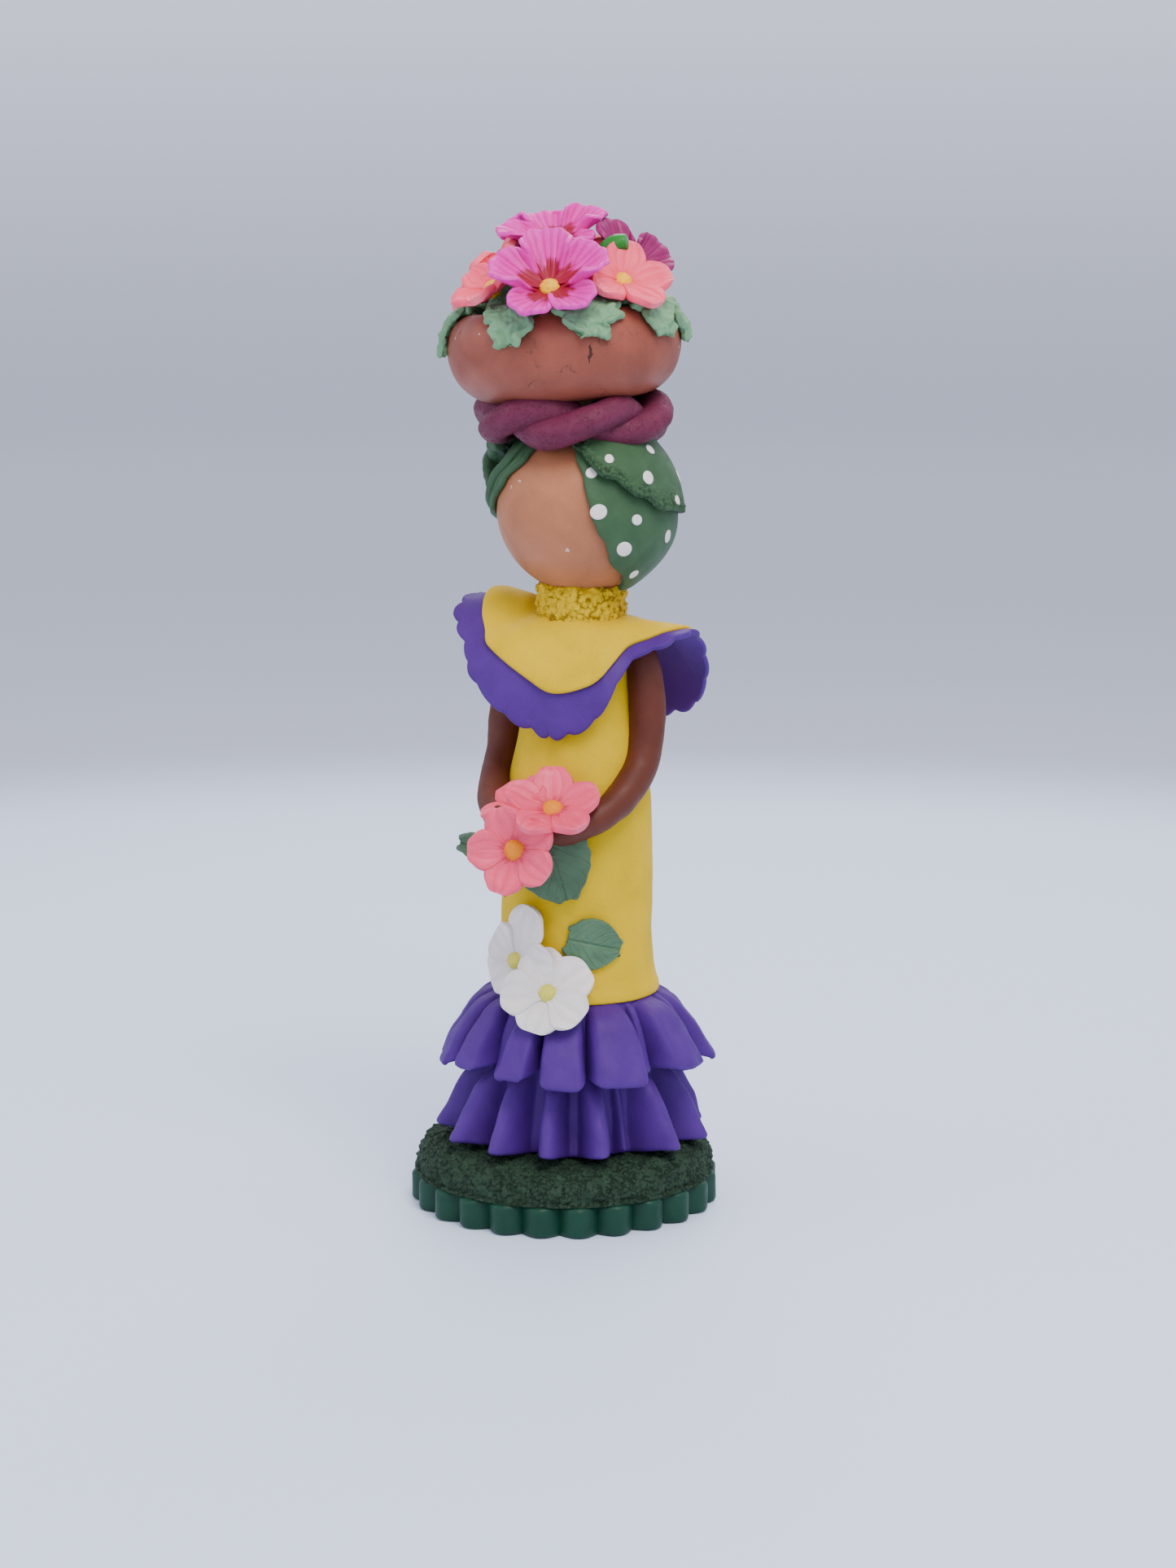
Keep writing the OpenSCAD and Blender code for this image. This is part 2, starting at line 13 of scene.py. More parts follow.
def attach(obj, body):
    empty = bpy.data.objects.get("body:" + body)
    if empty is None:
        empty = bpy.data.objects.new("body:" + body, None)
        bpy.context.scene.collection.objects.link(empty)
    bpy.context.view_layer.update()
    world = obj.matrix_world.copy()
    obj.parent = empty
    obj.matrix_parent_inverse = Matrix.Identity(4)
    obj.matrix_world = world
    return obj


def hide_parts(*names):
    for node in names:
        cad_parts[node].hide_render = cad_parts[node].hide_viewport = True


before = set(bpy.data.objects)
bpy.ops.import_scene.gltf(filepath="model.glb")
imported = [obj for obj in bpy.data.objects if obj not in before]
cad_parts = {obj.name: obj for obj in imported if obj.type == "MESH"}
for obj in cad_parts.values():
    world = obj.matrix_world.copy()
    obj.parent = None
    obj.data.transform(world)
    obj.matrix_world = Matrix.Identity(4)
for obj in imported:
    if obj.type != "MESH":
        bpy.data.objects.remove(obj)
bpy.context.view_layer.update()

bl_info = {
    "name": "Clay folk doll",
    "version": (1, 0, 0),
    "blender": (4, 5, 0),
    "location": "3D View > Sidebar > Clay doll",
    "description": "Builds a clay folk doll piece by piece around its solid model",
    "category": "Object",
}

MM = 0.001

# The figure leans a little on its base, and the bowl sits a little tilted on its ring.
FIGURE = Matrix.Translation((1.3, 0.3, 0)) @ Matrix.Rotation(math.radians(1), 4, "Y")
BOWL = Matrix.Translation((0.7, 0.3, 142.6)) @ Matrix.Rotation(math.radians(-4), 4, "Y")
RING_AT = Vector((1.4, 0.6, 139.8))
HEAD_Z = 124.3
HEAD_R = 15
BASE_R = 27.5
BASE_H = 5.5
BAND_FOOT = 104.8
NECK_R = 6.3
# The ring is two strands that wind round a circle, each this far off it.
RING_R = 13
STRAND_OFF = 1.9
# The scarf ends this far over the head's centre. Its edges are told from EDGES_FROM up.
SCARF_TOP = 13.4
EDGES_FROM = -20
# Points nearer than this are one point, in metres.
WELD_GAP = 2e-6

# The stage is a dish: a level floor, then a curve, then a wall that leans outwards.
FLOOR_R = 1700
CURVE_R = 300
WALL_R = FLOOR_R + CURVE_R
WALL_H = 2200
FLOOR_SHARE = 0.7
CURVE_SHARE = 0.15
# The camera's place in metres, its pitch and turn in degrees, and its lens in mm.
CAMERA_AT = (0.24544, -0.54094, 0.182)
CAMERA_PITCH = 79.8
CAMERA_TURN = 24
CAMERA_LENS = 78.46
LIGHTS_AIM = (0, 0, 0.1)


# ---- sizes and colours a user can change ----

def colour_property(name, description, default):
    return bpy.props.FloatVectorProperty(
        name=name, description=description, default=default,
        subtype="COLOR", size=3, min=0, max=1)


class DollSizes(bpy.types.PropertyGroup):
    """Sizes of the clay work that can be changed without leaving the solid model's box"""

    sheet: bpy.props.FloatProperty(
        name="Sheet thickness", description="Thickness of the rolled clay sheets",
        default=1.0 * MM, min=0.7 * MM, max=1.4 * MM, unit="LENGTH")
    petal: bpy.props.FloatProperty(
        name="Petal thickness", description="Thickness of the thick pink petals",
        default=1.2 * MM, min=0.8 * MM, max=1.6 * MM, unit="LENGTH")
    unevenness: bpy.props.FloatProperty(
        name="Hand unevenness", description="How far the handled clay wanders from true",
        default=0.22 * MM, min=0, max=0.5 * MM, unit="LENGTH")
    crumbs: bpy.props.FloatProperty(
        name="Grass crumbs", description="Height of the crumbs on the grass pad",
        default=0.95 * MM, min=0.2 * MM, max=1.2 * MM, unit="LENGTH")


class DollColours(bpy.types.PropertyGroup):
    """Colours of the clays"""

    base: colour_property("Base", "Fluted base", (0.0012, 0.038, 0.018))
    grass: colour_property("Grass", "Crumbled grass pad", (0.016, 0.040, 0.018))
    yellow: colour_property("Yellow", "Dress, collar and neck band", (0.68, 0.43, 0.0))
    purple: colour_property("Purple", "Ruffles and cape", (0.064, 0.010, 0.178))
    arms: colour_property("Arms", "Arms and neck", (0.100, 0.020, 0.008))
    head: colour_property("Head", "Ball of the head", (0.41, 0.146, 0.063))
    scarf: colour_property("Scarf", "Head scarf", (0.036, 0.090, 0.034))
    plum: colour_property("Plum", "Head ring", (0.130, 0.013, 0.042))
    bowl: colour_property("Bowl", "Bowl of flowers", (0.270, 0.066, 0.038))
    leaf: colour_property("Leaf", "Leaves", (0.155, 0.32, 0.160))
    magenta: colour_property("Magenta", "Large petals", (0.80, 0.004, 0.40))
    crimson: colour_property("Crimson", "Heart of the large petals", (0.30, 0.0, 0.022))
    pink: colour_property("Pink", "Small petals", (1.0, 0.085, 0.165))
    posy: colour_property("Posy pink", "Petals of the posy", (0.90, 0.080, 0.160))
    yolk: colour_property("Buttons", "Middles of the flowers", (1.0, 0.50, 0.0))
    white: colour_property("White", "White petals", (0.80, 0.73, 0.67))


class StageSettings(bpy.types.PropertyGroup):
    """The stage that the doll stands on"""

    floor: colour_property("Floor", "Pale floor and backdrop", (0.76, 0.85, 1.0))
    key_power: bpy.props.FloatProperty(
        name="Key light", description="Power of the soft light over the doll",
        default=3.8, min=0, unit="POWER")


# ---- curves, surfaces and places ----

def polar(radius, degrees, z):
    """A point at an angle from the front, turning towards the doll's left."""
    a = math.radians(degrees)
    return Vector((radius * math.sin(a), -radius * math.cos(a), z))


def mix(a, b, t):
    return a + (b - a) * t


def clamp(x, low=0.0, high=1.0):
    return max(low, min(high, x))


def smooth(t):
    t = clamp(t)
    return t * t * (3 - 2 * t)


def eased(x, table):
    """A value read from (x, value) pairs, eased from each to the next."""
    if x <= table[0][0]:
        return table[0][1]
    for (x0, y0), (x1, y1) in zip(table, table[1:]):
        if x <= x1:
            return mix(y0, y1, smooth((x - x0) / (x1 - x0)))
    return table[-1][1]


def flowing(angle, table):
    """A value read all round from a closed table of (angle, value) pairs."""
    a, last = angle % 360, len(table) - 1
    k = max(n for n in range(last) if table[n][0] <= a)

    def slope(n):
        n %= last
        x, y = table[n - 1] if n else (table[last - 1][0] - 360, table[last - 1][1])
        return (table[n + 1][1] - y) / (table[n + 1][0] - x)

    width = table[k + 1][0] - table[k][0]
    t = (a - table[k][0]) / width
    bend = (t ** 3 - 2 * t * t + t) * slope(k) + (t ** 3 - t * t) * slope(k + 1)
    return mix(table[k][1], table[k + 1][1], smooth(t)) + width * bend


def along(points, t):
    """The point at t, from 0 to 1, on a smooth curve through evenly weighted points."""
    last = len(points) - 1
    spot = clamp(t) * last
    k = min(int(spot), last - 1)
    f = spot - k
    a, b, c, d = (Vector(points[min(max(k + n, 0), last)]) for n in (-1, 0, 1, 2))
    return 0.5 * (2 * b + (c - a) * f + (2 * a - 5 * b + 4 * c - d) * f * f
                  + (3 * b - a - 3 * c + d) * f ** 3)


def lumps(point, size, seed=0.0):
    """Smooth noise from -1 to 1 with lumps of about that size in millimetres."""
    return noise.noise(Vector(point) / size + Vector((seed, seed * 1.7, -seed)))


def facing(place):
    """Where a flower's own +Z looks round by an angle and up by an elevation."""
    x, y, z, way, rise, spin = place
    return (Matrix.Translation((x, y, z)) @ Matrix.Rotation(math.radians(way), 4, "Z")
            @ Matrix.Rotation(math.radians(90 - rise), 4, "X")
            @ Matrix.Rotation(math.radians(spin), 4, "Z"))


# ---- modelling steps ----

def deselect():
    if bpy.context.object and bpy.context.object.mode != "OBJECT":
        bpy.ops.object.mode_set(mode="OBJECT")
    bpy.ops.object.select_all(action="DESELECT")


def select_only(piece):
    deselect()
    piece.select_set(True)
    bpy.context.view_layer.objects.active = piece


def in_edit_mode(piece, *steps):
    """Runs each (operator, arguments) step on the whole of the piece."""
    select_only(piece)
    bpy.ops.object.mode_set(mode="EDIT")
    bpy.ops.mesh.select_all(action="SELECT")
    for operator, arguments in steps:
        operator(**arguments)
    bpy.ops.object.mode_set(mode="OBJECT")


def weld(piece):
    """Closes seams and poles, where a grid's points lie on each other."""
    in_edit_mode(piece, (bpy.ops.mesh.remove_doubles, {"threshold": WELD_GAP}))


def faced_out(piece):
    in_edit_mode(piece, (bpy.ops.mesh.normals_make_consistent, {"inside": False}))


def laid_grid(name, across, up, place, joined=False):
    """A grid of clay whose point (u, v), each from 0 to 1, lies at place(u, v)."""
    deselect()
    bpy.ops.mesh.primitive_grid_add(x_subdivisions=across, y_subdivisions=up, size=1)
    piece = bpy.context.object
    piece.name = piece.data.name = name
    for vert in piece.data.vertices:
        vert.co = place(vert.co.x + 0.5, vert.co.y + 0.5) * MM
    if joined:
        weld(piece)
    return piece


def turned(name, profile, around, up, placed, wander=None, drop=None):
    """A closed turned shape: profile runs from the axis below to the axis above."""
    def place(u, v):
        spot = along(profile, v)
        radius, z = max(spot.x, 0), spot.y
        if wander and radius > 0.01:
            radius += wander(360 * u, z)
        if drop:
            z -= drop(360 * u, z)
        return placed @ polar(radius, 360 * u, z)
    return laid_grid(name, around, up, place, joined=True)


def rolled(name, points, radii, around, up, placed=Matrix(), flat=1.0):
    """A roll of clay along a curve, with closed round ends."""
    def place(u, v):
        t = clamp(v)
        here = along(points, t)
        ahead = (along(points, min(t + 0.01, 1)) - along(points, max(t - 0.01, 0)))
        ahead.normalize()
        side = ahead.cross(Vector((0.13, 0.21, 1))).normalized()
        over = side.cross(ahead)
        radius = along([(r, 0, 0) for r in radii], t).x
        radius *= math.sqrt(max(0.0, 1 - max(abs(2 * t - 1) - 0.9, 0) ** 2 * 100))
        a = 2 * math.pi * u
        return placed @ (here + radius * (side * math.cos(a) + over * flat * math.sin(a)))
    return laid_grid(name, around, up, place, joined=True)


def modified(piece, kind, **settings):
    """Adds a modifier with these settings and applies it."""
    select_only(piece)
    bpy.ops.object.modifier_add(type=kind)
    modifier = piece.modifiers[-1]
    for key, value in settings.items():
        setattr(modifier, key, value)
    bpy.ops.object.modifier_apply(modifier=modifier.name)


def thicken(piece, thickness):
    """Gives a sheet its thickness, away from its outer face."""
    modified(piece, "SOLIDIFY", thickness=thickness, offset=-1, use_even_offset=False)


def round_off(piece):
    modified(piece, "SUBSURF", levels=1, render_levels=1)


def push(piece, how_far):
    """Moves each point along its normal by how_far(point in mm) millimetres."""
    mesh = piece.data
    normals = [vert.normal.copy() for vert in mesh.vertices]
    for vert, normal in zip(mesh.vertices, normals):
        vert.co += normal * how_far(vert.co / MM) * MM
    mesh.update()


def handled(piece, seed, amount=1.0, size=6.0):
    """The unevenness that fingers leave."""
    depth = bpy.context.scene.doll_sizes.unevenness / MM * amount
    push(piece, lambda p: depth * (lumps(p, size, seed) + 0.4 * lumps(p, size / 3, seed)))


def joined(name, pieces):
    select_only(pieces[0])
    for piece in pieces[1:]:
        piece.select_set(True)
    bpy.ops.object.join()
    piece = bpy.context.object
    piece.name = piece.data.name = name
    return piece


def ready(piece, material, slot, *nodes):
    """Smooths the piece, gives it its clay and puts it in place of its solids."""
    select_only(piece)
    bpy.ops.object.shade_smooth()
    piece.data.materials.clear()
    piece.data.materials.append(material)
    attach(piece, "root")
    if nodes:
        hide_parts(*nodes)
    return piece


# ---- node groups ----

class Tree:
    """Short ways to add and join nodes in one tree."""

    def __init__(self, tree):
        self.tree = tree
        self.column = 0

    def add(self, kind, inputs=None, **settings):
        made = self.tree.nodes.new(kind)
        self.column += 1
        made.location = (self.column * 190, -(self.column % 4) * 160)
        for key, value in settings.items():
            setattr(made, key, value)
        for key, value in (inputs or {}).items():
            if isinstance(value, bpy.types.NodeSocket):
                self.tree.links.new(value, made.inputs[key])
            else:
                made.inputs[key].default_value = value
        return made

    def math(self, operation, a, b=0.0, c=None, clamped=False):
        values = {0: a, 1: b} if c is None else {0: a, 1: b, 2: c}
        return self.add("ShaderNodeMath", values, operation=operation,
                        use_clamp=clamped).outputs[0]

    def noise(self, vector, scale, detail=3.0, distortion=0.0):
        return self.add("ShaderNodeTexNoise", {
            "Vector": vector, "Scale": scale, "Detail": detail,
            "Distortion": distortion}).outputs["Fac"]

    def ramp(self, value, low, high):
        """0 below low, 1 above high, smooth between them."""
        return self.add("ShaderNodeMapRange", {
            "Value": value, "From Min": low, "From Max": high},
            interpolation_type="SMOOTHSTEP").outputs["Result"]

    def blend(self, factor, a, b, how="MIX"):
        made = self.add("ShaderNodeMix", {0: factor, 6: a, 7: b},
                        data_type="RGBA", blend_type=how)
        return made.outputs[2]


def new_group(name, inputs, outputs):
    group = bpy.data.node_groups.new(name, "ShaderNodeTree")
    for label, kind, default in inputs:
        socket = group.interface.new_socket(label, in_out="INPUT", socket_type=kind)
        if default is not None:
            socket.default_value = default
    for label, kind in outputs:
        group.interface.new_socket(label, in_out="OUTPUT", socket_type=kind)
    tree = Tree(group)
    entry = group.nodes.new("NodeGroupInput")
    leave = group.nodes.new("NodeGroupOutput")
    return group, tree, entry.outputs, leave


def leave_with(group, leave, **values):
    for label, socket in values.items():
        group.links.new(socket, leave.inputs[label.replace("_", " ")])


def kneaded_group():
    """Kneaded clay: soft mottling, a fine grain, and a height for both."""
    group, tree, give, leave = new_group("Kneaded clay", [
        ("Vector", "NodeSocketVector", None),
        ("Colour", "NodeSocketColor", (0.8, 0.8, 0.8, 1)),
        ("Mottle", "NodeSocketFloat", 0.2),
        ("Mottle scale", "NodeSocketFloat", 260.0),
        ("Grain scale", "NodeSocketFloat", 3200.0),
        ("Gloss", "NodeSocketFloat", 0.5)],
        [("Colour", "NodeSocketColor"), ("Roughness", "NodeSocketFloat"),
         ("Height", "NodeSocketFloat")])
    patches = tree.noise(give["Vector"], give["Mottle scale"], 4.0, 0.4)
    grain = tree.noise(give["Vector"], give["Grain scale"], 2.0)
    swing = tree.math("SUBTRACT", patches, 0.5)
    shade = tree.math("MULTIPLY_ADD", swing, give["Mottle"], 1.0)
    fleck = tree.math("MULTIPLY_ADD", tree.math("SUBTRACT", grain, 0.5), 0.22, shade)
    grey = tree.add("ShaderNodeCombineColor", {"Red": fleck, "Green": fleck, "Blue": fleck})
    tinted = tree.blend(1.0, give["Colour"], grey.outputs[0], "MULTIPLY")
    rough = tree.math("MULTIPLY_ADD", swing, -0.35, give["Gloss"], clamped=True)
    height = tree.math("MULTIPLY_ADD", grain, 0.35, tree.math("MULTIPLY", patches, 0.8))
    leave_with(group, leave, Colour=tinted, Roughness=rough, Height=height)
    return group


def crumbs_group():
    """Torn, crumbled clay: grains and pits, with a mask that is 1 in the pits."""
    group, tree, give, leave = new_group("Crumbs", [
        ("Vector", "NodeSocketVector", None),
        ("Scale", "NodeSocketFloat", 1300.0)],
        [("Pits", "NodeSocketFloat"), ("Height", "NodeSocketFloat")])
    warp = tree.add("ShaderNodeTexNoise", {
        "Vector": give["Vector"], "Scale": give["Scale"], "Detail": 2.0})
    bent = tree.add("ShaderNodeVectorMath", {
        0: warp.outputs["Color"], 1: (0.0006, 0.0006, 0.0006), 2: give["Vector"]},
        operation="MULTIPLY_ADD")
    cells = tree.add("ShaderNodeTexVoronoi", {
        "Vector": bent.outputs[0], "Scale": give["Scale"]}, feature="F1")
    patches = tree.noise(give["Vector"], tree.math("MULTIPLY", give["Scale"], 0.35), 3.0)
    pits = tree.ramp(tree.math("MULTIPLY", cells.outputs["Distance"], patches), 0.2, 0.48)
    height = tree.math("SUBTRACT", patches, tree.math("MULTIPLY", pits, 0.8))
    leave_with(group, leave, Pits=pits, Height=height)
    return group


def cracks_group():
    """Fine drying cracks that come and go. The mask is 1 in a crack."""
    group, tree, give, leave = new_group("Drying cracks", [
        ("Vector", "NodeSocketVector", None),
        ("Scale", "NodeSocketFloat", 90.0),
        ("Width", "NodeSocketFloat", 0.012),
        ("Amount", "NodeSocketFloat", 0.5)],
        [("Cracks", "NodeSocketFloat")])
    warp = tree.add("ShaderNodeTexNoise", {
        "Vector": give["Vector"], "Scale": 420.0, "Detail": 3.0})
    bent = tree.add("ShaderNodeVectorMath", {
        0: warp.outputs["Color"], 1: (0.006, 0.006, 0.006), 2: give["Vector"]},
        operation="MULTIPLY_ADD")
    edges = tree.add("ShaderNodeTexVoronoi", {
        "Vector": bent.outputs[0], "Scale": give["Scale"]},
        feature="DISTANCE_TO_EDGE")
    line = tree.add("ShaderNodeMapRange", {
        "Value": edges.outputs["Distance"], "From Min": give["Width"], "From Max": 0.0},
        interpolation_type="SMOOTHSTEP").outputs["Result"]
    where = tree.noise(give["Vector"], 150.0, 1.0)
    low = tree.math("SUBTRACT", 1.0, give["Amount"])
    here = tree.math("MULTIPLY", tree.math("SUBTRACT", where, low), 12.0, clamped=True)
    leave_with(group, leave, Cracks=tree.math("MULTIPLY", line, here))
    return group


def specks_group():
    """Small stray specks pressed into the clay. The mask is 1 on a speck."""
    group, tree, give, leave = new_group("Stray specks", [
        ("Vector", "NodeSocketVector", None),
        ("Scale", "NodeSocketFloat", 260.0),
        ("Size", "NodeSocketFloat", 0.09)],
        [("Specks", "NodeSocketFloat")])
    cells = tree.add("ShaderNodeTexVoronoi", {
        "Vector": give["Vector"], "Scale": give["Scale"]}, feature="F1")
    ragged = tree.math("MULTIPLY", tree.noise(give["Vector"], 2600.0, 2.0), give["Size"])
    spot = tree.math("LESS_THAN", cells.outputs["Distance"], ragged)
    some = tree.math("GREATER_THAN", tree.noise(give["Vector"], 120.0, 0.0), 0.52)
    leave_with(group, leave, Specks=tree.math("MULTIPLY", spot, some))
    return group


def split_group():
    """A ragged line from one point to another. The mask is 1 along it."""
    group, tree, give, leave = new_group("Split", [
        ("Vector", "NodeSocketVector", None), ("Start", "NodeSocketVector", None),
        ("End", "NodeSocketVector", None), ("Width", "NodeSocketFloat", 0.00045)],
        [("Split", "NodeSocketFloat")])

    def vector(operation, a, b=None, scale=None):
        made = tree.add("ShaderNodeVectorMath", {0: a}, operation=operation)
        if b is not None:
            tree.tree.links.new(b, made.inputs[1])
        if scale is not None:
            tree.tree.links.new(scale, made.inputs["Scale"])
        return made

    warp = tree.add("ShaderNodeTexNoise", {
        "Vector": give["Vector"], "Scale": 900.0, "Detail": 2.0})
    bent = tree.add("ShaderNodeVectorMath", {
        0: warp.outputs["Color"], 1: (0.0014, 0.0, 0.0014), 2: give["Vector"]},
        operation="MULTIPLY_ADD").outputs[0]
    away = vector("SUBTRACT", bent, give["Start"]).outputs[0]
    line = vector("SUBTRACT", give["End"], give["Start"]).outputs[0]
    share = tree.math("DIVIDE", vector("DOT_PRODUCT", away, line).outputs["Value"],
                      vector("DOT_PRODUCT", line, line).outputs["Value"], clamped=True)
    foot = vector("SCALE", line, scale=share).outputs[0]
    off = vector("LENGTH", vector("SUBTRACT", away, foot).outputs[0]).outputs["Value"]
    ends = tree.math("MULTIPLY", tree.math("MULTIPLY", share, tree.math(
        "SUBTRACT", 1.0, share)), 4.0)
    reach = tree.math("MULTIPLY", give["Width"], tree.math("ADD", ends, 0.15))
    gap = tree.add("ShaderNodeMapRange", {
        "Value": off, "From Min": reach, "From Max": tree.math("MULTIPLY", reach, 0.4)},
        interpolation_type="SMOOTHSTEP").outputs["Result"]
    leave_with(group, leave, Split=gap)
    return group


def petal_group():
    """Pressed petal veins that fan out from the heart, read from the piece's own map."""
    group, tree, give, leave = new_group("Petal veins", [
        ("Vector", "NodeSocketVector", None),
        ("Veins", "NodeSocketFloat", 9.0),
        ("Heart", "NodeSocketFloat", 0.5)],
        [("Height", "NodeSocketFloat"), ("Streaks", "NodeSocketFloat"),
         ("Rim", "NodeSocketFloat")])
    place = tree.add("ShaderNodeSeparateXYZ", {0: give["Vector"]})
    across, out = place.outputs[0], place.outputs[1]
    fan = tree.math("MULTIPLY", tree.math("MULTIPLY", across, give["Veins"]), math.pi)
    wander = tree.noise(give["Vector"], 3.5, 2.0)
    ridge = tree.math("ABSOLUTE", tree.math("SINE", tree.math("ADD", fan, wander)))
    fade = tree.ramp(out, 0.12, 0.5)
    line = tree.add("ShaderNodeCombineXYZ", {
        0: tree.math("MULTIPLY", across, 15.0), 1: tree.math("MULTIPLY", out, 1.6)})
    blot = tree.noise(line.outputs[0], 1.0, 3.0, 0.3)
    reach = tree.math("SUBTRACT", give["Heart"], out)
    streaks = tree.ramp(tree.math("MULTIPLY_ADD", reach, 1.3, blot), 0.42, 0.6)
    leave_with(group, leave, Height=tree.math("MULTIPLY", ridge, fade), Streaks=streaks,
               Rim=tree.ramp(out, 0.78, 1.0))
    return group


def leaf_group():
    """A midrib and side veins, read from the piece's own map."""
    group, tree, give, leave = new_group("Leaf veins", [
        ("Vector", "NodeSocketVector", None),
        ("Pairs", "NodeSocketFloat", 6.0)],
        [("Veins", "NodeSocketFloat")])
    place = tree.add("ShaderNodeSeparateXYZ", {0: give["Vector"]})
    off = tree.math("ABSOLUTE", tree.math("SUBTRACT", place.outputs[0], 0.5))
    rib = tree.ramp(off, 0.045, 0.0)
    slant = tree.math("MULTIPLY_ADD", off, -0.9, place.outputs[1])
    wave = tree.math("SINE", tree.math("MULTIPLY", tree.math(
        "MULTIPLY", slant, give["Pairs"]), 2 * math.pi))
    side = tree.ramp(wave, 0.8, 1.0)
    leave_with(group, leave, Veins=tree.math("MAXIMUM", rib, side))
    return group


# ---- materials ----

GROUPS = {}
CLAYS = {}


def group_node(tree, name, inputs, builder):
    if name not in GROUPS:
        GROUPS[name] = builder()
    made = tree.add("ShaderNodeGroup", node_tree=GROUPS[name])
    for key, value in inputs.items():
        if isinstance(value, bpy.types.NodeSocket):
            tree.tree.links.new(value, made.inputs[key])
        else:
            made.inputs[key].default_value = value
    return made.outputs


def clay(name, colour, gloss=0.5, mottle=0.35, grain=3200.0, bump=0.25, extra=None,
         relief=0.10, mottle_scale=260.0, coat=0.0, shine=0.3):
    """A clay material. extra(tree, position, colour, height) can add to its surface."""
    if name in CLAYS:
        return CLAYS[name]
    material = bpy.data.materials.new(name)
    material.use_nodes = True
    tree = Tree(material.node_tree)
    shader = material.node_tree.nodes["Principled BSDF"]
    shader.inputs["Specular IOR Level"].default_value = shine
    shader.inputs["Coat Weight"].default_value = coat
    shader.inputs["Coat Roughness"].default_value = 0.35
    position = tree.add("ShaderNodeTexCoord").outputs["Object"]
    body = group_node(tree, "Kneaded clay", {
        "Vector": position, "Colour": (*colour, 1), "Mottle": mottle,
        "Mottle scale": mottle_scale, "Grain scale": grain, "Gloss": gloss},
        kneaded_group)
    tinted, height, rough = body["Colour"], body["Height"], body["Roughness"]
    if extra:
        tinted, height, rough = extra(tree, position, tinted, height, rough)
    surface = tree.add("ShaderNodeBump", {
        "Height": height, "Strength": bump, "Distance": relief * MM * 4})
    tree.tree.links.new(tinted, shader.inputs["Base Color"])
    tree.tree.links.new(rough, shader.inputs["Roughness"])
    tree.tree.links.new(surface.outputs[0], shader.inputs["Normal"])
    CLAYS[name] = material
    return material


def darker(tree, mask, amount, tinted, shade):
    return tree.blend(tree.math("MULTIPLY", mask, amount), tinted, (*shade, 1))


def crumbled(scale, shade, depth=1.2, amount=0.75):
    def extra(tree, position, tinted, height, rough):
        bits = group_node(tree, "Crumbs", {"Vector": position, "Scale": scale}, crumbs_group)
        # The pits are darkened towards the shade colour: painted shade in the pits.
        tinted = darker(tree, bits["Pits"], amount, tinted, shade)
        height = tree.math("MULTIPLY_ADD", bits["Height"], depth, height)
        rough = tree.math("MULTIPLY_ADD", bits["Pits"], 0.3, rough, clamped=True)
        return tinted, height, rough
    return extra


def cracked(scale, width, amount, shade, specks=None):
    def extra(tree, position, tinted, height, rough):
        lines = group_node(tree, "Drying cracks", {
            "Vector": position, "Scale": scale, "Width": width, "Amount": amount},
            cracks_group)["Cracks"]
        # The cracks are darkened towards the shade colour: painted shade in the cracks.
        tinted = darker(tree, lines, 0.75, tinted, shade)
        height = tree.math("MULTIPLY_ADD", lines, -2.2, height)
        if specks:
            spots = group_node(tree, "Stray specks", {
                "Vector": position, "Scale": 230.0, "Size": specks}, specks_group)["Specks"]
            tinted = tree.blend(tree.math("MULTIPLY", spots, 0.8), tinted,
                                (0.72, 0.56, 0.46, 1))
            height = tree.math("MULTIPLY_ADD", spots, 0.9, height)
        return tinted, height, rough
    return extra


def torn_hem(shade):
    """Crumbs only along the piece's lower edge, read from its own map."""
    def extra(tree, position, tinted, height, rough):
        own_map = tree.add("ShaderNodeTexCoord").outputs["UV"]
        up = tree.add("ShaderNodeSeparateXYZ", {0: own_map}).outputs[1]
        wander = tree.noise(position, 300.0, 2.0)
        hem = tree.ramp(tree.math("MULTIPLY_ADD", wander, -0.22, up), 0.16, -0.02)
        bits = group_node(tree, "Crumbs", {"Vector": position, "Scale": 1900.0},
                          crumbs_group)
        # The pits along the hem are darkened towards the shade colour: painted shade in them.
        pits = tree.math("MULTIPLY", bits["Pits"], hem)
        tinted = darker(tree, pits, 0.8, tinted, shade)
        height = tree.math("MULTIPLY_ADD", tree.math("MULTIPLY", bits["Height"], hem), 1.6,
                           height)
        return tinted, height, rough
    return extra


def split(across, top, bottom, shade):
    """A short open crack down the front, with fine drying cracks all over the piece.

    across is the level direction the crack parts, and top and bottom are its heights.
    """
    def extra(tree, position, tinted, height, rough):
        tinted, height, rough = cracked(58.0, 0.0075, 0.5, shade, 0.12)(
            tree, position, tinted, height, rough)
        off = tree.add("ShaderNodeVectorMath", {0: position, 1: (*across, 0.0)},
                       operation="DOT_PRODUCT").outputs["Value"]
        parts = tree.add("ShaderNodeSeparateXYZ", {0: position}).outputs
        laid = tree.add("ShaderNodeCombineXYZ", {
            "X": off, "Y": tree.math("GREATER_THAN", parts[1], 0.0), "Z": parts[2]}).outputs[0]
        gap = group_node(tree, "Split", {
            "Vector": laid, "Start": (0.0008, 0, top), "End": (0.0005, 0, bottom)},
            split_group)["Split"]
        # The open crack is painted near black: painted shade inside it.
        tinted = darker(tree, gap, 0.9, tinted, (0.03, 0.008, 0.005))
        return tinted, tree.math("MULTIPLY_ADD", gap, -5.0, height), rough
    return extra


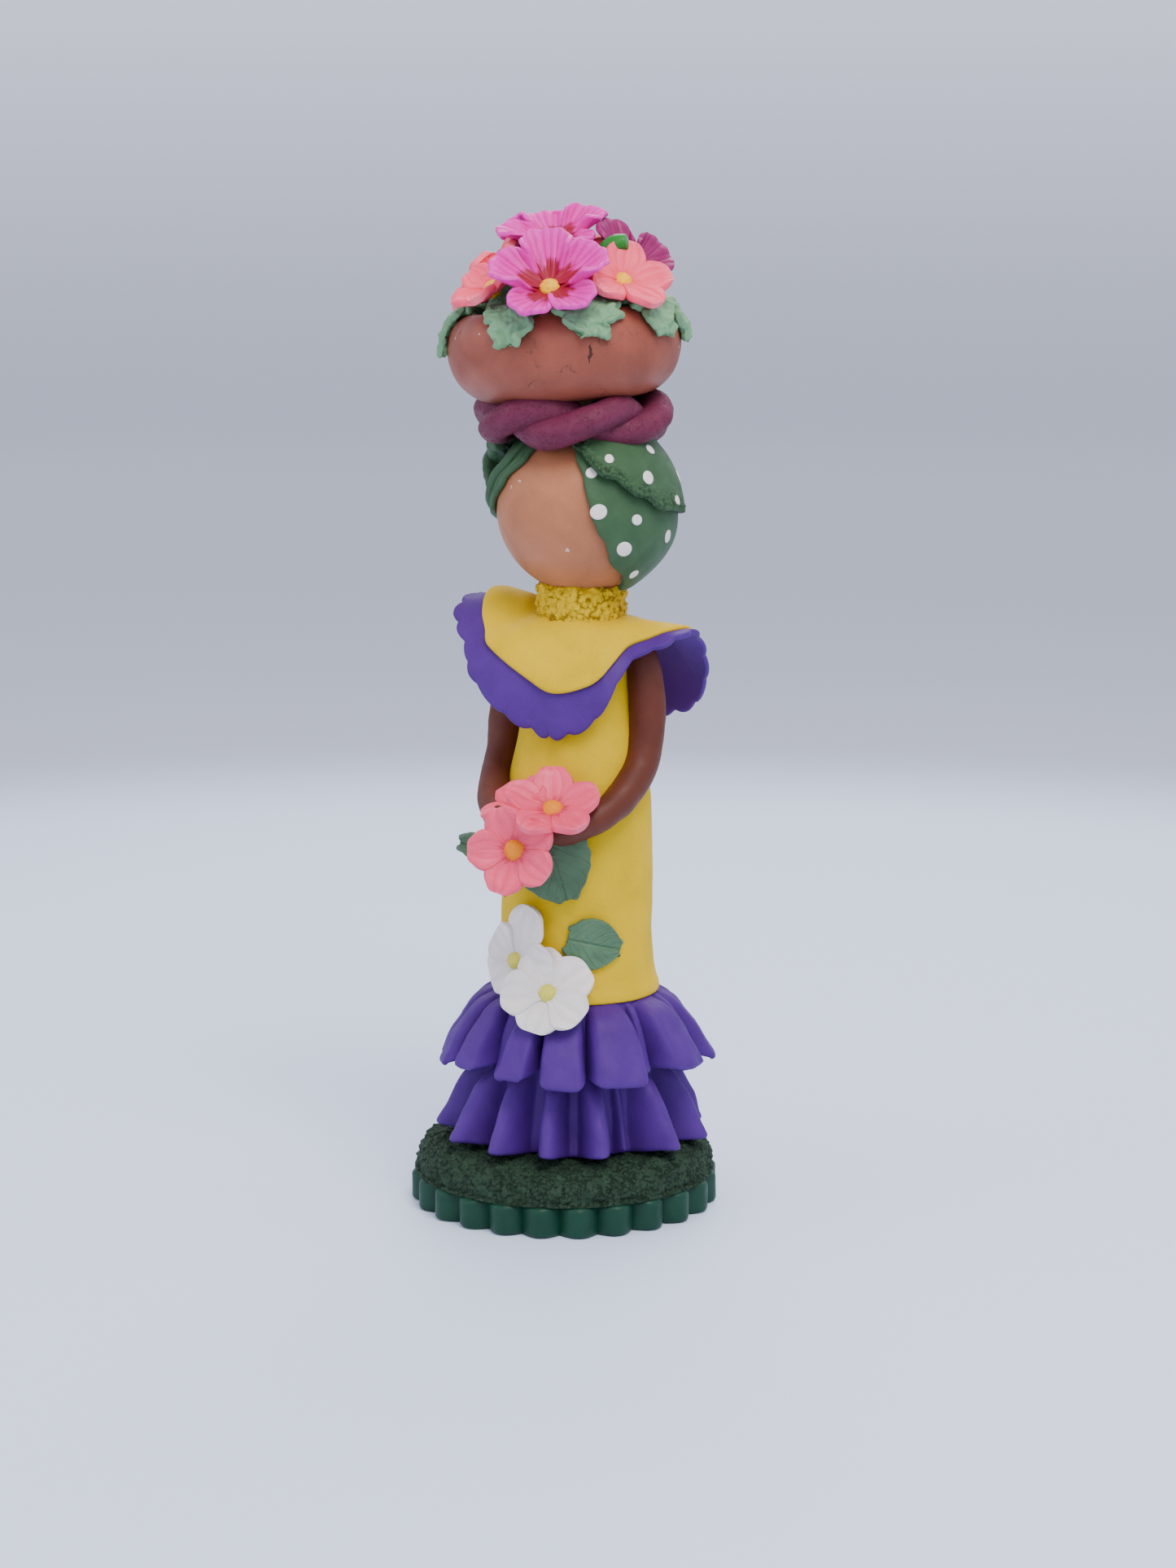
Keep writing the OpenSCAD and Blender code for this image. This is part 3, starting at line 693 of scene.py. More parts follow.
def petalled(streak, rim, veins, heart, depth, strength=1.0):
    def extra(tree, position, tinted, height, rough):
        own_map = tree.add("ShaderNodeTexCoord").outputs["UV"]
        marks = group_node(tree, "Petal veins", {
            "Vector": own_map, "Veins": veins, "Heart": heart}, petal_group)
        # Between the vein ridges, and by the heart where there are none, the petal is darkened
        # towards the streak colour: painted shade in the grooves and by the heart.
        low = tree.math("SUBTRACT", 1.0, marks["Height"])
        tinted = darker(tree, low, 0.3, tinted, streak)
        tinted = darker(tree, marks["Streaks"], strength, tinted, streak)
        # The rim is lightened towards the rim colour: a painted highlight along the petal's thick
        # edge.
        tinted = tree.blend(tree.math("MULTIPLY", marks["Rim"], 0.45), tinted, (*rim, 1))
        height = tree.math("MULTIPLY_ADD", marks["Height"], depth, height)
        return tinted, height, rough
    return extra


def veined(pairs, pale, depth=1.4):
    def extra(tree, position, tinted, height, rough):
        own_map = tree.add("ShaderNodeTexCoord").outputs["UV"]
        veins = group_node(tree, "Leaf veins", {"Vector": own_map, "Pairs": pairs},
                           leaf_group)["Veins"]
        tinted = tree.blend(tree.math("MULTIPLY", veins, 0.35), tinted, (*pale, 1))
        height = tree.math("MULTIPLY_ADD", veins, -depth, height)
        return tinted, height, rough
    return extra


# ---- base and grass ----

def build_base():
    sizes, colours = bpy.context.scene.doll_sizes, bpy.context.scene.doll_colours
    deselect()
    bpy.ops.mesh.primitive_cylinder_add(
        vertices=384, radius=BASE_R * MM, depth=BASE_H * MM, location=(0, 0, BASE_H / 2 * MM),
        end_fill_type="NGON")
    piece = bpy.context.object
    bpy.ops.object.transform_apply(location=True, rotation=False, scale=False)
    bpy.ops.object.mode_set(mode="EDIT")
    bpy.ops.mesh.select_all(action="DESELECT")
    bpy.ops.mesh.select_mode(type="FACE")
    bpy.ops.object.mode_set(mode="OBJECT")
    for face in piece.data.polygons:
        face.select = abs(face.normal.z) > 0.9
    bpy.ops.object.mode_set(mode="EDIT")
    bpy.ops.mesh.bevel(offset=0.9 * MM, segments=4, affect="EDGES")
    bpy.ops.mesh.select_all(action="SELECT")
    bpy.ops.mesh.select_mode(type="VERT")
    bpy.ops.object.mode_set(mode="OBJECT")
    for vert in piece.data.vertices:
        reach = math.hypot(vert.co.x, vert.co.y) / MM
        angle = math.degrees(math.atan2(vert.co.x, -vert.co.y))
        crest = abs(math.cos(math.radians(12 * angle)))
        dent = 2.3 * (1 - crest) + 0.3 * lumps(vert.co / MM, 9, 3)
        scale = (reach - max(dent, 0) * smooth((reach - 22) / 4)) / max(reach, 0.001)
        vert.co.x *= scale
        vert.co.y *= scale
    piece.name = piece.data.name = "clay_base"
    ready(piece, clay("Deep green clay", colours.base, 0.5, 0.6, 1800, 0.35),
          "base_clay", "fluted_base")
    bpy.ops.object.shade_smooth_by_angle(angle=math.radians(50))

    def profile(v):
        return along([(0, 5.3), (13, 5.3), (25.6, 5.3), (26.2, 6.2), (26.1, 8.0),
                      (25.4, 9.6), (24, 10.7), (21.5, 11.1), (18, 11.3), (13, 11.2),
                      (0, 11.2)], v)

    def grass(u, v):
        # the hidden middle and underside take few rows, the edge and top most of them
        spot = profile(eased(v, [(0, 0), (0.04, 0.19), (0.96, 0.9), (1, 1)]))
        return polar(max(spot.x, 0), 360 * u, spot.y)

    pad = laid_grid("grass_crumbs", 380, 74, grass, joined=True)
    height = sizes.crumbs / MM

    def crumb(p):
        if p.z < 5.7:
            return 0
        near = noise.voronoi(p / 1.25)[0][0]
        fine = noise.voronoi(p / 0.62 + Vector((5, 1, 2)))[0][0]
        swell = lumps(p, 3.2, 2)
        return height * (0.62 - near + 0.35 * (0.5 - fine) + 0.55 * swell)

    push(pad, crumb)
    ready(pad, clay("Grass clay", colours.grass, 0.75, 0.9, 2400, 0.7,
                    crumbled(1500.0, (0.006, 0.018, 0.008), 1.6, 0.8), 0.22, 420),
          "grass_clay", "grass_pad")


# ---- dress and ruffles ----

# Profiles of turned shapes: (radius, height)
DRESS = [(0, 12), (9, 12), (13.0, 12.1), (13.1, 22), (13.2, 34), (13.7, 38.5), (14.8, 38.8),
         (14.8, 39.9), (14.1, 42), (13.5, 46), (13.35, 54), (13.3, 62), (13.0, 70),
         (12.2, 77), (10.9, 84), (10.0, 90), (9.7, 95), (9.2, 99.5), (7.6, 102.4),
         (4, 103), (0, 103)]


def yellow_clay():
    colours = bpy.context.scene.doll_colours
    return clay("Yellow clay", colours.yellow, 0.6, 0.4, 2600, 0.25, mottle_scale=130,
                shine=0.1)


def build_dress():
    def wander(angle, z):
        dent = 0.32 * lumps(polar(12, angle, z), 11, 6) + 0.12 * lumps(polar(12, angle, z), 4)
        seam = -0.35 * math.exp(-((angle - 196) / 2.2) ** 2) if z > 38 else 0
        return dent + seam
    piece = turned("dress_tube", DRESS, 120, 150, FIGURE, wander)
    ready(piece, yellow_clay(), "yellow_clay", "dress")


def purple_clay():
    colours = bpy.context.scene.doll_colours
    return clay("Purple clay", colours.purple, 0.62, 0.45, 2400, 0.25, mottle_scale=190)


# Pleats in turn round the skirt: (angle it starts at, how far it swings out, how low)
UPPER_PLEATS = [(-58, 1.0, 0.6), (-40, 0.9, -0.4), (-22, 0.3, 1.4), (-12, 0.96, -0.5),
                (6, 0.98, 0.4), (30, 1.06, 0.0), (60, 0.35, -0.8), (67, 1.02, -1.0),
                (95, 0.8, 0.6), (104, 1.08, 0.4), (126, 0.94, 0.0),
                (150, 1.04, 0.6), (173, 0.9, -0.3), (200, 1.02, 0.2), (226, 0.95, 0.7),
                (250, 1.05, -0.2), (274, 0.92, 0.5)]
LOWER_PLEATS = [(-46, 1.0, 0.3), (-22, 0.96, 0.4), (2, 1.0, -0.4), (24, 1.04, -0.6),
                (47, 0.25, 0.6), (57, 1.0, -0.1), (84, 1.03, 0.4), (110, 0.95, 0.0),
                (134, 1.02, 0.4), (160, 0.9, -0.3), (184, 1.03, 0.2), (210, 0.96, 0.4),
                (234, 1.02, -0.2), (258, 0.94, 0.3), (284, 1.0, 0.0)]


def ruffle(name, pleats, crest, valley, fold, tube, gap, slant, sag):
    """A pleated strip. fold near 1 tucks each pleat's sides in behind its front."""
    sizes = bpy.context.scene.doll_sizes
    edges = [p[0] for p in pleats] + [pleats[0][0] + 360]

    def place(u, v):
        turn = edges[0] + 360 * (u % 1.0)
        k = min(bisect.bisect_right(edges, turn) - 1, len(pleats) - 1)
        width = edges[k + 1] - edges[k]
        inside = (turn - edges[k]) / width
        swell, low = pleats[k][1], pleats[k][2]
        out = smooth(tube * math.sin(math.pi * inside) - gap)
        drop = 1 - v
        open_up = smooth(drop / 0.4)
        a = along(crest, drop)
        b = along(valley, drop)
        keep = out * (0.2 + 0.8 * open_up)
        radius = mix(b.x, mix(b.x, a.x, swell), keep)
        z = mix(b.y, a.y - low * drop, keep)
        z += sag * (1 - 1.6 * math.sin(math.pi * inside)) * drop ** 3
        bend = -fold * open_up * math.sin(2 * math.pi * inside) / (2 * math.pi) * width
        angle = turn + bend + slant * drop * math.sin(math.radians(turn - 24))
        angle += 3.0 * lumps((edges[k], drop * 2, 1), 1.7, 4) * drop
        radius += (0.8 * lumps(polar(radius, angle, z), 4, 4)
                   + 0.5 * out * smooth((drop - 0.8) / 0.2)) * drop
        return FIGURE @ polar(radius, angle, z)

    piece = laid_grid(name, 400, 15, place, joined=True)
    thicken(piece, 1.2 * sizes.sheet)
    round_off(piece)
    handled(piece, 8, 0.5, 3.5)
    return piece


def build_ruffles():
    upper = ruffle(
        "upper_pleats", UPPER_PLEATS,
        [(13.8, 39.4), (16.0, 38.6), (18.4, 36.4), (20.8, 33.4), (22.8, 30.2), (24.1, 26.8)],
        [(13.6, 39.2), (14.5, 37.6), (15.3, 35.0), (16.0, 32.4), (16.6, 29.4), (17.0, 26.6)],
        0.84, 1.25, 0.12, 3.0, 0.9)
    ready(upper, purple_clay(), "purple_clay", "upper_ruffle")
    lower = ruffle(
        "lower_pleats", LOWER_PLEATS,
        [(14.2, 29), (17.6, 26.4), (20.2, 23.2), (22.3, 19.9), (23.9, 16.8), (25.2, 13.8)],
        [(13.8, 29), (14.4, 26), (14.9, 22.6), (15.4, 19.2), (15.9, 15.4), (16.2, 11.6)],
        0.10, 1.25, 0.45, 4.0, 0.3)
    ready(lower, purple_clay(), "purple_clay", "lower_ruffle")


# ---- neck, cape and arms ----

def brown_clay():
    colours = bpy.context.scene.doll_colours
    return clay("Brown clay", colours.arms, 0.55, 0.4, 2600, 0.2)


def build_neck():
    core = turned("neck_roll", [(0, 103), (4, 103), (6.2, 103.3), (6.3, 106), (6.3, 109),
                                (6.2, 111), (4, 111.5), (0, 111.5)], 64, 24, FIGURE)
    ready(core, brown_clay(), "brown_clay", "neck")

    band = turned("neck_band_crumbs",
                  [(5.9, 104.6), (7.3, 104.5), (8.1, 104.9), (7.9, 105.8), (7.7, 107.2),
                   (7.7, 109), (7.8, 110.2), (7.3, 110.9), (6.2, 110.7), (5.9, 108),
                   (5.9, 104.6)], 260, 60, FIGURE,
                  drop=lambda angle, z: 1.1 * (1 + math.cos(math.radians(angle - 24)))
                  * (110.9 - z) / 6.3)

    def pitted(p):
        if math.hypot(p.x - 3.1, p.y - 0.3) < 6.9:
            return 0
        near = noise.voronoi(p / 1.35)[0][0]
        return 0.8 * (0.45 - near) + 0.5 * lumps(p, 1.3, 3) + 0.2 * lumps(p, 0.5, 1)

    push(band, pitted)
    colours = bpy.context.scene.doll_colours
    rough = clay("Stippled yellow clay", colours.yellow, 0.5, 0.6, 2600, 0.5,
                 crumbled(1300.0, (0.13, 0.055, 0.001), 1.2, 0.8), 0.16, 500, shine=0.15)
    ready(band, rough, "yellow_clay", "neck_band")


# The cape all round from the front: (angle, radius of its hem), (angle, height of its
# hem) and (angle, share of the cape that the collar covers)
HEM_R = [(0, 13), (30, 13.8), (40, 14.6), (50, 14.4), (60, 15), (72, 18.6), (84, 19.8),
         (100, 21.2), (110, 22.2), (121, 22.6), (132, 21.8), (142, 20.2), (160, 16.8),
         (180, 15), (200, 15.6), (218, 17.8), (235, 19.6), (250, 20.6), (262, 21.4),
         (278, 21.8), (290, 21.9), (300, 21), (309, 20.8), (319, 18.8), (334, 16.2),
         (346, 14.2), (360, 13)]
HEM_Z = [(0, 85.2), (30, 87.6), (40, 90.6), (50, 94.9), (60, 99), (72, 101.8),
         (84, 103.8), (100, 103.6), (110, 100.8), (121, 95.1), (132, 88.6), (142, 87),
         (160, 85.6), (180, 85.2), (200, 86), (218, 89), (235, 96.5), (250, 104),
         (262, 107.8), (278, 107.4), (290, 104.5), (300, 100.2), (309, 96), (319, 92.6),
         (334, 88.4), (346, 86.3), (360, 85.2)]
COLLAR_SHARE = [(0, 0.73), (24, 0.73), (48, 0.7), (62, 0.67), (74, 0.68), (86, 0.78),
                (100, 0.8), (130, 0.74), (180, 0.72), (230, 0.7), (262, 0.68),
                (290, 0.65), (300, 0.60), (310, 0.58), (322, 0.61), (336, 0.65),
                (360, 0.73)]


def cape_point(angle, share):
    """Radius and height at a share, from 0 to 1, of the way from the neck to the hem."""
    a = angle % 360
    radius, hem = flowing(a, HEM_R), flowing(a, HEM_Z)
    steep = clamp((BAND_FOOT - hem) / 14) * 0.85
    out = mix(share, math.sin(math.radians(90 * share)), steep)
    down = mix(share, 1 - math.cos(math.radians(90 * share)), steep)
    # over the doll's right shoulder the cape is pushed up beside the neck
    raised = 2.3 * smooth(1 - abs(a - 262) / 48) * smooth(share * 5) * (
        1 - smooth(2 * share - 1))
    return (mix(NECK_R + 0.6, radius, out),
            mix(BAND_FOOT - 0.4, hem, down) + raised)


def build_cape():
    scallops = 30
    marks = [0.0]
    for k in range(360):
        a, b = (polar(flowing(n, HEM_R), n, flowing(n, HEM_Z)) for n in (k, k + 1))
        marks.append(marks[-1] + (b - a).length)

    def lobes(u, v):
        # the columns are spread by length along the hem, so every scallop is alike
        run = u * marks[-1]
        k = min(max(bisect.bisect_right(marks, run) - 1, 0), 359)
        angle = k + (run - marks[k]) / (marks[k + 1] - marks[k])
        uneven = 0.22 * math.sin(2 * math.pi * 5 * u) + 0.15 * math.sin(2 * math.pi * 7 * u)
        wave = abs(math.sin(math.pi * (scallops * u + uneven))) ** 0.65
        flat = clamp((flowing(angle, HEM_Z) - 92) / 10)
        hem = 1 + mix(0.04, 0.07, flat) * (wave - 0.75)
        share = mix(hem, 0.1, v)
        reach, height = cape_point(angle, share)
        near_hem = smooth(1 - v * 2.2)
        ripple = 0.5 * math.sin(math.radians(angle * 9 + 40)) * near_hem
        spot = polar(reach + ripple, angle, height)
        return FIGURE @ (spot + Vector((0, 0, 0.35 * lumps(spot, 6, 2) * near_hem)))

    cape = laid_grid("cape_scallops", 400, 18, lobes, joined=True)
    thicken(cape, 1.05 * bpy.context.scene.doll_sizes.sheet)
    round_off(cape)
    ready(cape, purple_clay(), "purple_clay", "cape_ruffle")

    def smooth_collar(u, v):
        angle = 360 * u
        share = mix(flowing(angle, COLLAR_SHARE), 0.0, v)
        reach, height = cape_point(angle, share)
        lift = 1.15 * (1 - 0.6 * share)
        wander = 0.12 * lumps(polar(reach, angle, height), 8, 5)
        return FIGURE @ polar(reach + 1.25 * share + wander, angle, height + lift)

    collar = laid_grid("cape_collar_sheet", 150, 16, smooth_collar, joined=True)
    thicken(collar, 0.95 * bpy.context.scene.doll_sizes.sheet)
    round_off(collar)
    ready(collar, yellow_clay(), "yellow_clay", "cape_collar")


def build_arms():
    for side, name in ((-1, "right_arm"), (1, "left_arm")):
        path = [(9.8, 0.4, 101), (12.2, 0.4, 97.5), (13.4, 0, 88), (13.3, -2, 80.5),
                (12.4, -7, 75.8), (10.2, -12.4, 72.4), (6, -16.6, 70.4), (3, -18, 70)]
        path = [(side * x - 0.5, y, z) for x, y, z in path]
        roll = rolled(f"{name}_roll", path, [2.0, 3.0, 3.2, 3.1, 2.95, 2.6, 2.5, 2.0],
                      28, 60, FIGURE)
        handled(roll, 11 + side, 1.0, 5)
        ready(roll, brown_clay(), "brown_clay", name)


# ---- head and scarf ----

# Edges round the face: (height over EDGES_FROM, angle from the front)
LEFT_EDGE = [(0, 80), (5.3, 74), (7.3, 66), (12.2, 43), (14.8, 39.5), (17.4, 33), (20, 29),
             (26.6, 24), (30.5, 17), (40, 4)]
RIGHT_EDGE = [(0, 102), (10, 98), (16, 90), (20, 58), (25, 41), (29.4, 25), (40, 4)]
# Lower edge of the scarf's second turn: (angle, height over the head's centre)
FOLD_HEM = [(15, 12.0), (20, 11.3), (40, 7.0), (60, 3.6), (79, 0.8), (112, -0.6),
            (162, -1), (212, 2), (246, 5)]
# White dots: (angle from the front, height over the head's centre, radius, on the fold)
DOTS = [(29.6, 7.3, 0.98, False), (33.6, 0.8, 1.35, False), (58.5, -0.7, 0.95, False),
        (51.5, -5.7, 1.35, False), (90, -4.2, 1.1, False), (68, -10.6, 0.95, False),
        (41, 9.7, 0.8, True), (66.5, 6.4, 1.2, True), (93, 2.0, 0.9, True),
        (81, 10.8, 0.95, True), (116, 5.5, 1.1, True), (120, -7.6, 1.1, False),
        (142, 2.4, 0.9, True), (146, -9, 1.2, False), (164, 7, 1.1, True),
        (172, -4.6, 0.9, False), (190, 2.6, 1.2, True), (198, -10, 1, False),
        (216, -3, 1.1, False), (230, 8, 0.9, True), (246, -7, 1.2, False),
        (262, -0.6, 0.8, False)]


def left_edge(h):
    """The angle of the scarf's edge by the doll's left cheek, at a height."""
    return eased(h - EDGES_FROM, LEFT_EDGE)


def right_edge(h):
    return -eased(h - EDGES_FROM, RIGHT_EDGE)


def wrap_radius(angle, h):
    back = clamp(math.sin(math.radians((angle - 30) / 230 * 180)))
    bag = 1.1 * math.exp(-((h + 6) / 6) ** 2) * back
    crease = 0.35 * math.sin(math.radians(3.2 * angle + 9 * h)) * back
    return HEAD_R + 1.15 + bag + crease


def fold_radius(angle, h):
    low = eased(angle, FOLD_HEM)
    lift = mix(1.0, 0.25, smooth((angle - 70) / 40)) * math.exp(-max(h - low, 0) / 2.5)
    return HEAD_R + 2.3 + lift + 0.2 * math.sin(math.radians(4 * angle - 14 * h))


def on_head(angle, h, radius):
    flat = math.sqrt(max(radius * radius - h * h, 1))
    return polar(flat, angle, HEAD_Z + h)


def scarf_clay(rough=False):
    colours = bpy.context.scene.doll_colours
    if rough:
        return clay("Torn scarf clay", colours.scarf, 0.68, 0.5, 2200, 0.5,
                    torn_hem((0.008, 0.03, 0.01)), 0.16, 300)
    return clay("Scarf clay", colours.scarf, 0.6, 0.45, 2200, 0.3, mottle_scale=300)


def build_head():
    colours = bpy.context.scene.doll_colours
    deselect()
    bpy.ops.mesh.primitive_uv_sphere_add(segments=96, ring_count=64, radius=HEAD_R * MM)
    ball = bpy.context.object
    ball.name = ball.data.name = "head_ball"
    for vert in ball.data.vertices:
        p = vert.co / MM
        vert.co = FIGURE @ (p * (1 + 0.004 * lumps(p, 9, 3)) + Vector((0, 0, HEAD_Z))) * MM
    tan = clay("Tan clay", colours.head, 0.52, 0.7, 3000, 0.22,
               cracked(70.0, 0.004, 0.42, (0.2, 0.08, 0.045), 0.17), mottle_scale=110)
    ready(ball, tan, "tan_clay", "head")


def build_scarf():
    def wrap(u, v):
        h = mix(-13.6, SCARF_TOP, v)
        angle = mix(left_edge(h), 360 + right_edge(h), u)
        ragged = 0.6 * lumps(Vector((h, 3, 0)), 2.2, 1) * smooth(1 - u * 12)
        spot = on_head(angle + ragged, h, wrap_radius(angle, h))
        corner = math.exp(-((u / 0.1) ** 2 + (v / 0.12) ** 2))
        return FIGURE @ (spot + Vector((0, 0, -0.4 * corner)))

    piece = laid_grid("scarf_first_turn", 130, 48, wrap)
    thicken(piece, 1.0 * MM)
    round_off(piece)
    ready(piece, scarf_clay(), "scarf_clay", "scarf_wrap")

    def fold(u, v):
        angle = mix(15, 246, u)
        low = eased(angle, FOLD_HEM)
        torn = 0.5 * lumps(Vector((angle / 6, 1, 0)), 1, 5) * (1 - v) ** 3
        h = mix(low + torn, SCARF_TOP, v ** 0.9)
        return FIGURE @ on_head(angle, h, fold_radius(angle, h) - 0.9 * smooth(1 - u * 20)
                                - 0.9 * smooth(u * 20 - 19))

    upper = laid_grid("scarf_second_turn", 220, 48, fold)
    thicken(upper, 1.25 * MM)
    round_off(upper)

    def torn_edge(p):
        local = FIGURE.inverted() @ p
        h = local.z - HEAD_Z
        angle = math.degrees(math.atan2(local.x, -local.y)) % 360
        band = math.exp(-((h - eased(angle, FOLD_HEM) - 0.8) / 1.3) ** 2)
        if angle > 255 or band < 0.02:
            return 0
        near = noise.voronoi(p / 0.95)[0][0]
        return band * (0.5 * (0.5 - near) + 0.35 * lumps(p, 0.8, 3))

    push(upper, torn_edge)
    ready(upper, scarf_clay(rough=True), "scarf_clay", "scarf_fold")

    # the thin rolled edge on the doll's right, and the two ends that cross behind it
    rim = [on_head(right_edge(h) - 6, h, HEAD_R + 0.7)
           for h in (11.5, 10, 8, 5.5, 3, 1, -0.6, -2)]
    pieces = [rolled("scarf_rim", rim, [0.4, 0.6, 0.7, 0.7, 0.6, 0.55, 0.4, 0.25],
                     14, 50, FIGURE)]
    behind = [on_head(right_edge(h) - 15, h, HEAD_R + 1.2)
              for h in (12, 10, 8, 5.5, 3, 0.6, -2, -4)]
    pieces.append(rolled("scarf_rim_2", behind, [0.5, 0.85, 1.0, 1.0, 0.9, 0.8, 0.6, 0.3],
                         14, 50, FIGURE))
    lift = Vector((0, 0, HEAD_Z))
    ends = [([(16.6, -126, 2), (17.4, -114, 5), (17.4, -100, 8), (16, -84, 10),
              (14.6, -74, 10.4)], [1.1, 1.7, 2.1, 1.7, 1.0]),
            ([(16.6, -86, 2.6), (18.2, -94, 4.4), (19.0, -101, 7.8), (16.6, -112, 10.6),
              (14.6, -122, 11.4)], [1.0, 1.6, 1.9, 1.6, 0.9])]
    for n, (points, radii) in enumerate(ends):
        end = rolled(f"scarf_end_{n}", [polar(*p) + lift for p in points], radii,
                     24, 48, FIGURE, 0.8)
        handled(end, 21 + n, 1.6, 2.2)
        pieces.append(end)
    knot = joined("scarf_knot_ends", pieces)
    ready(knot, scarf_clay(), "scarf_clay", "scarf_knot")


def build_dots():
    colours = bpy.context.scene.doll_colours
    pieces = []
    for n, (angle, h, radius, on_fold) in enumerate(DOTS):
        surface = fold_radius if on_fold else wrap_radius

        def dot(u, v):
            reach = radius * 1.02 * min(v / 0.8, 1)
            reach *= 1 + 0.06 * math.sin(2 * math.pi * u * 2 + n)
            across = reach * math.cos(2 * math.pi * u)
            up = reach * math.sin(2 * math.pi * u)
            r = surface(angle, h) + (0.14 if v < 0.8 else mix(0.14, -0.25, (v - 0.8) / 0.2))
            flat = math.sqrt(max(r * r - h * h, 1))
            turn = angle + math.degrees(across / flat)
            height = h + up * flat / r
            r += surface(turn, height) - surface(angle, h)
            return FIGURE @ on_head(turn, height, r)

        pieces.append(laid_grid(f"dot_{n}", 28, 6, dot, joined=True))
    dots = joined("scarf_white_dots", pieces)
    faced_out(dots)
    ready(dots, clay("White dots", colours.white, 0.4, 0.12, 3000, 0.15),
          "dot_paint", "scarf_dots")


# ---- head ring and bowl ----

def build_ring():
    colours = bpy.context.scene.doll_colours
    plum = clay("Plum clay", colours.plum, 0.58, 0.7, 2300, 0.4,
                crumbled(2600.0, (0.05, 0.006, 0.02), 0.35, 0.25), 0.12, 330)
    for turn, name in ((85, "ring_strand_a"), (265, "ring_strand_b")):
        def strand(u, v):
            angle = 360 * v
            twist = math.radians(3 * angle + turn)
            centre = polar(RING_R + STRAND_OFF * math.cos(twist), angle,
                           STRAND_OFF * math.sin(twist))
            a = 2 * math.pi * u
            plump = 2.95 + 0.2 * math.sin(math.radians(3 * angle + 90))
            out = polar(1, angle, 0)
            spot = centre + plump * (out * 1.08 * math.cos(a)
                                     - Vector((0, 0, 0.96 * math.sin(a))))
            return RING_AT + spot
        piece = laid_grid(f"{name}_roll", 36, 220, strand, joined=True)
        faced_out(piece)
        handled(piece, turn / 50, 1.1, 5)
        ready(piece, plum, "plum_clay", name)


BOWL_PROFILE = [(0, 0.2), (9, 0.0), (14.6, 0.7), (18.2, 3.4), (19.9, 7.2), (20.1, 10.6),
                (19.2, 13.6), (16.8, 15.6), (14, 15.4), (11, 14.4), (6, 13.6), (0, 13.6)]


def build_bowl():
    colours = bpy.context.scene.doll_colours

    def wander(angle, z):
        return 0.35 * lumps(polar(20, angle, z), 13, 2) + 0.1 * lumps(polar(20, angle, z), 4, 2)

    piece = turned("bowl_ball", BOWL_PROFILE, 160, 90, BOWL, wander)
    brown = clay("Terracotta clay", colours.bowl, 0.5, 0.85, 2400, 0.35,
                 split((0.796, 0.607), 0.1542, 0.1508, (0.09, 0.03, 0.02)),
                 mottle_scale=130)
    ready(piece, brown, "terracotta_clay", "bowl")
    bed = turned("flower_bed_mound",
                 [(0, 12.8), (7, 12.8), (12.8, 13.4), (13.6, 15), (12.4, 18.4), (9.8, 21.8),
                  (5.6, 24.4), (0, 25)], 120, 60, BOWL)
    push(bed, lambda p: 0.7 * lumps(p, 2.4, 5) + 0.3 * lumps(p, 1.0, 2))
    ready(bed, leaf_clay(), "leaf_clay", "flower_bed")


# ---- leaves ----

def leaf_clay(pairs=0, shade_factor=1.0):
    """Clay for leaves: crumbled, veined with pairs above 0, or torn with pairs below 0."""
    colours = bpy.context.scene.doll_colours
    if pairs < 0:
        return clay("Torn leaf clay", colours.leaf, 0.6, 0.35, 1500, 0.4, mottle_scale=200)
    # Below 1, the second argument makes a darker copy of the leaf clay: painted shade for the
    # leaves of the posy and the dress.
    if shade_factor < 1:
        shade = [shade_factor * c for c in colours.leaf]
        return clay(f"Leaf clay {pairs} {shade_factor}", shade, 0.55, 0.5, 2400, 0.5,
                    veined(float(pairs), [1.5 * c for c in shade]), 0.16, 280)
    if pairs:
        return clay(f"Veined leaf clay {pairs}", colours.leaf, 0.55, 0.5, 2400, 0.5,
                    veined(float(pairs), (0.24, 0.42, 0.27)), 0.16, 280)
    return clay("Leaf clay", colours.leaf, 0.62, 0.6, 2400, 0.5,
                crumbled(1700.0, (0.03, 0.11, 0.045), 0.8, 0.5), 0.15, 320)


# Leaves over the bowl's rim: (angle from the front, length, width, seed)
RIM_LEAVES = [(-66, 12.5, 8.5, 1), (-3, 11.5, 9.5, 2), (38, 11.0, 11.5, 3),
              (80, 11.5, 9.5, 4), (108, 12.5, 9.5, 5), (160, 11.5, 10, 6),
              (206, 12.0, 10, 7), (250, 11.5, 9.5, 8)]


def jagged(width, t, seed, across):
    """Half of a torn leaf's width, t of the way to its tip."""
    body = math.sin(math.pi * (0.10 + 0.86 * t)) ** 0.6
    teeth = 0.17 * math.cos(2 * math.pi * (3.5 * t + 0.13 * seed + 0.2 * across))
    return width / 2 * body * (0.9 + teeth + 0.3 * lumps((t * 9, seed, across), 1, seed))


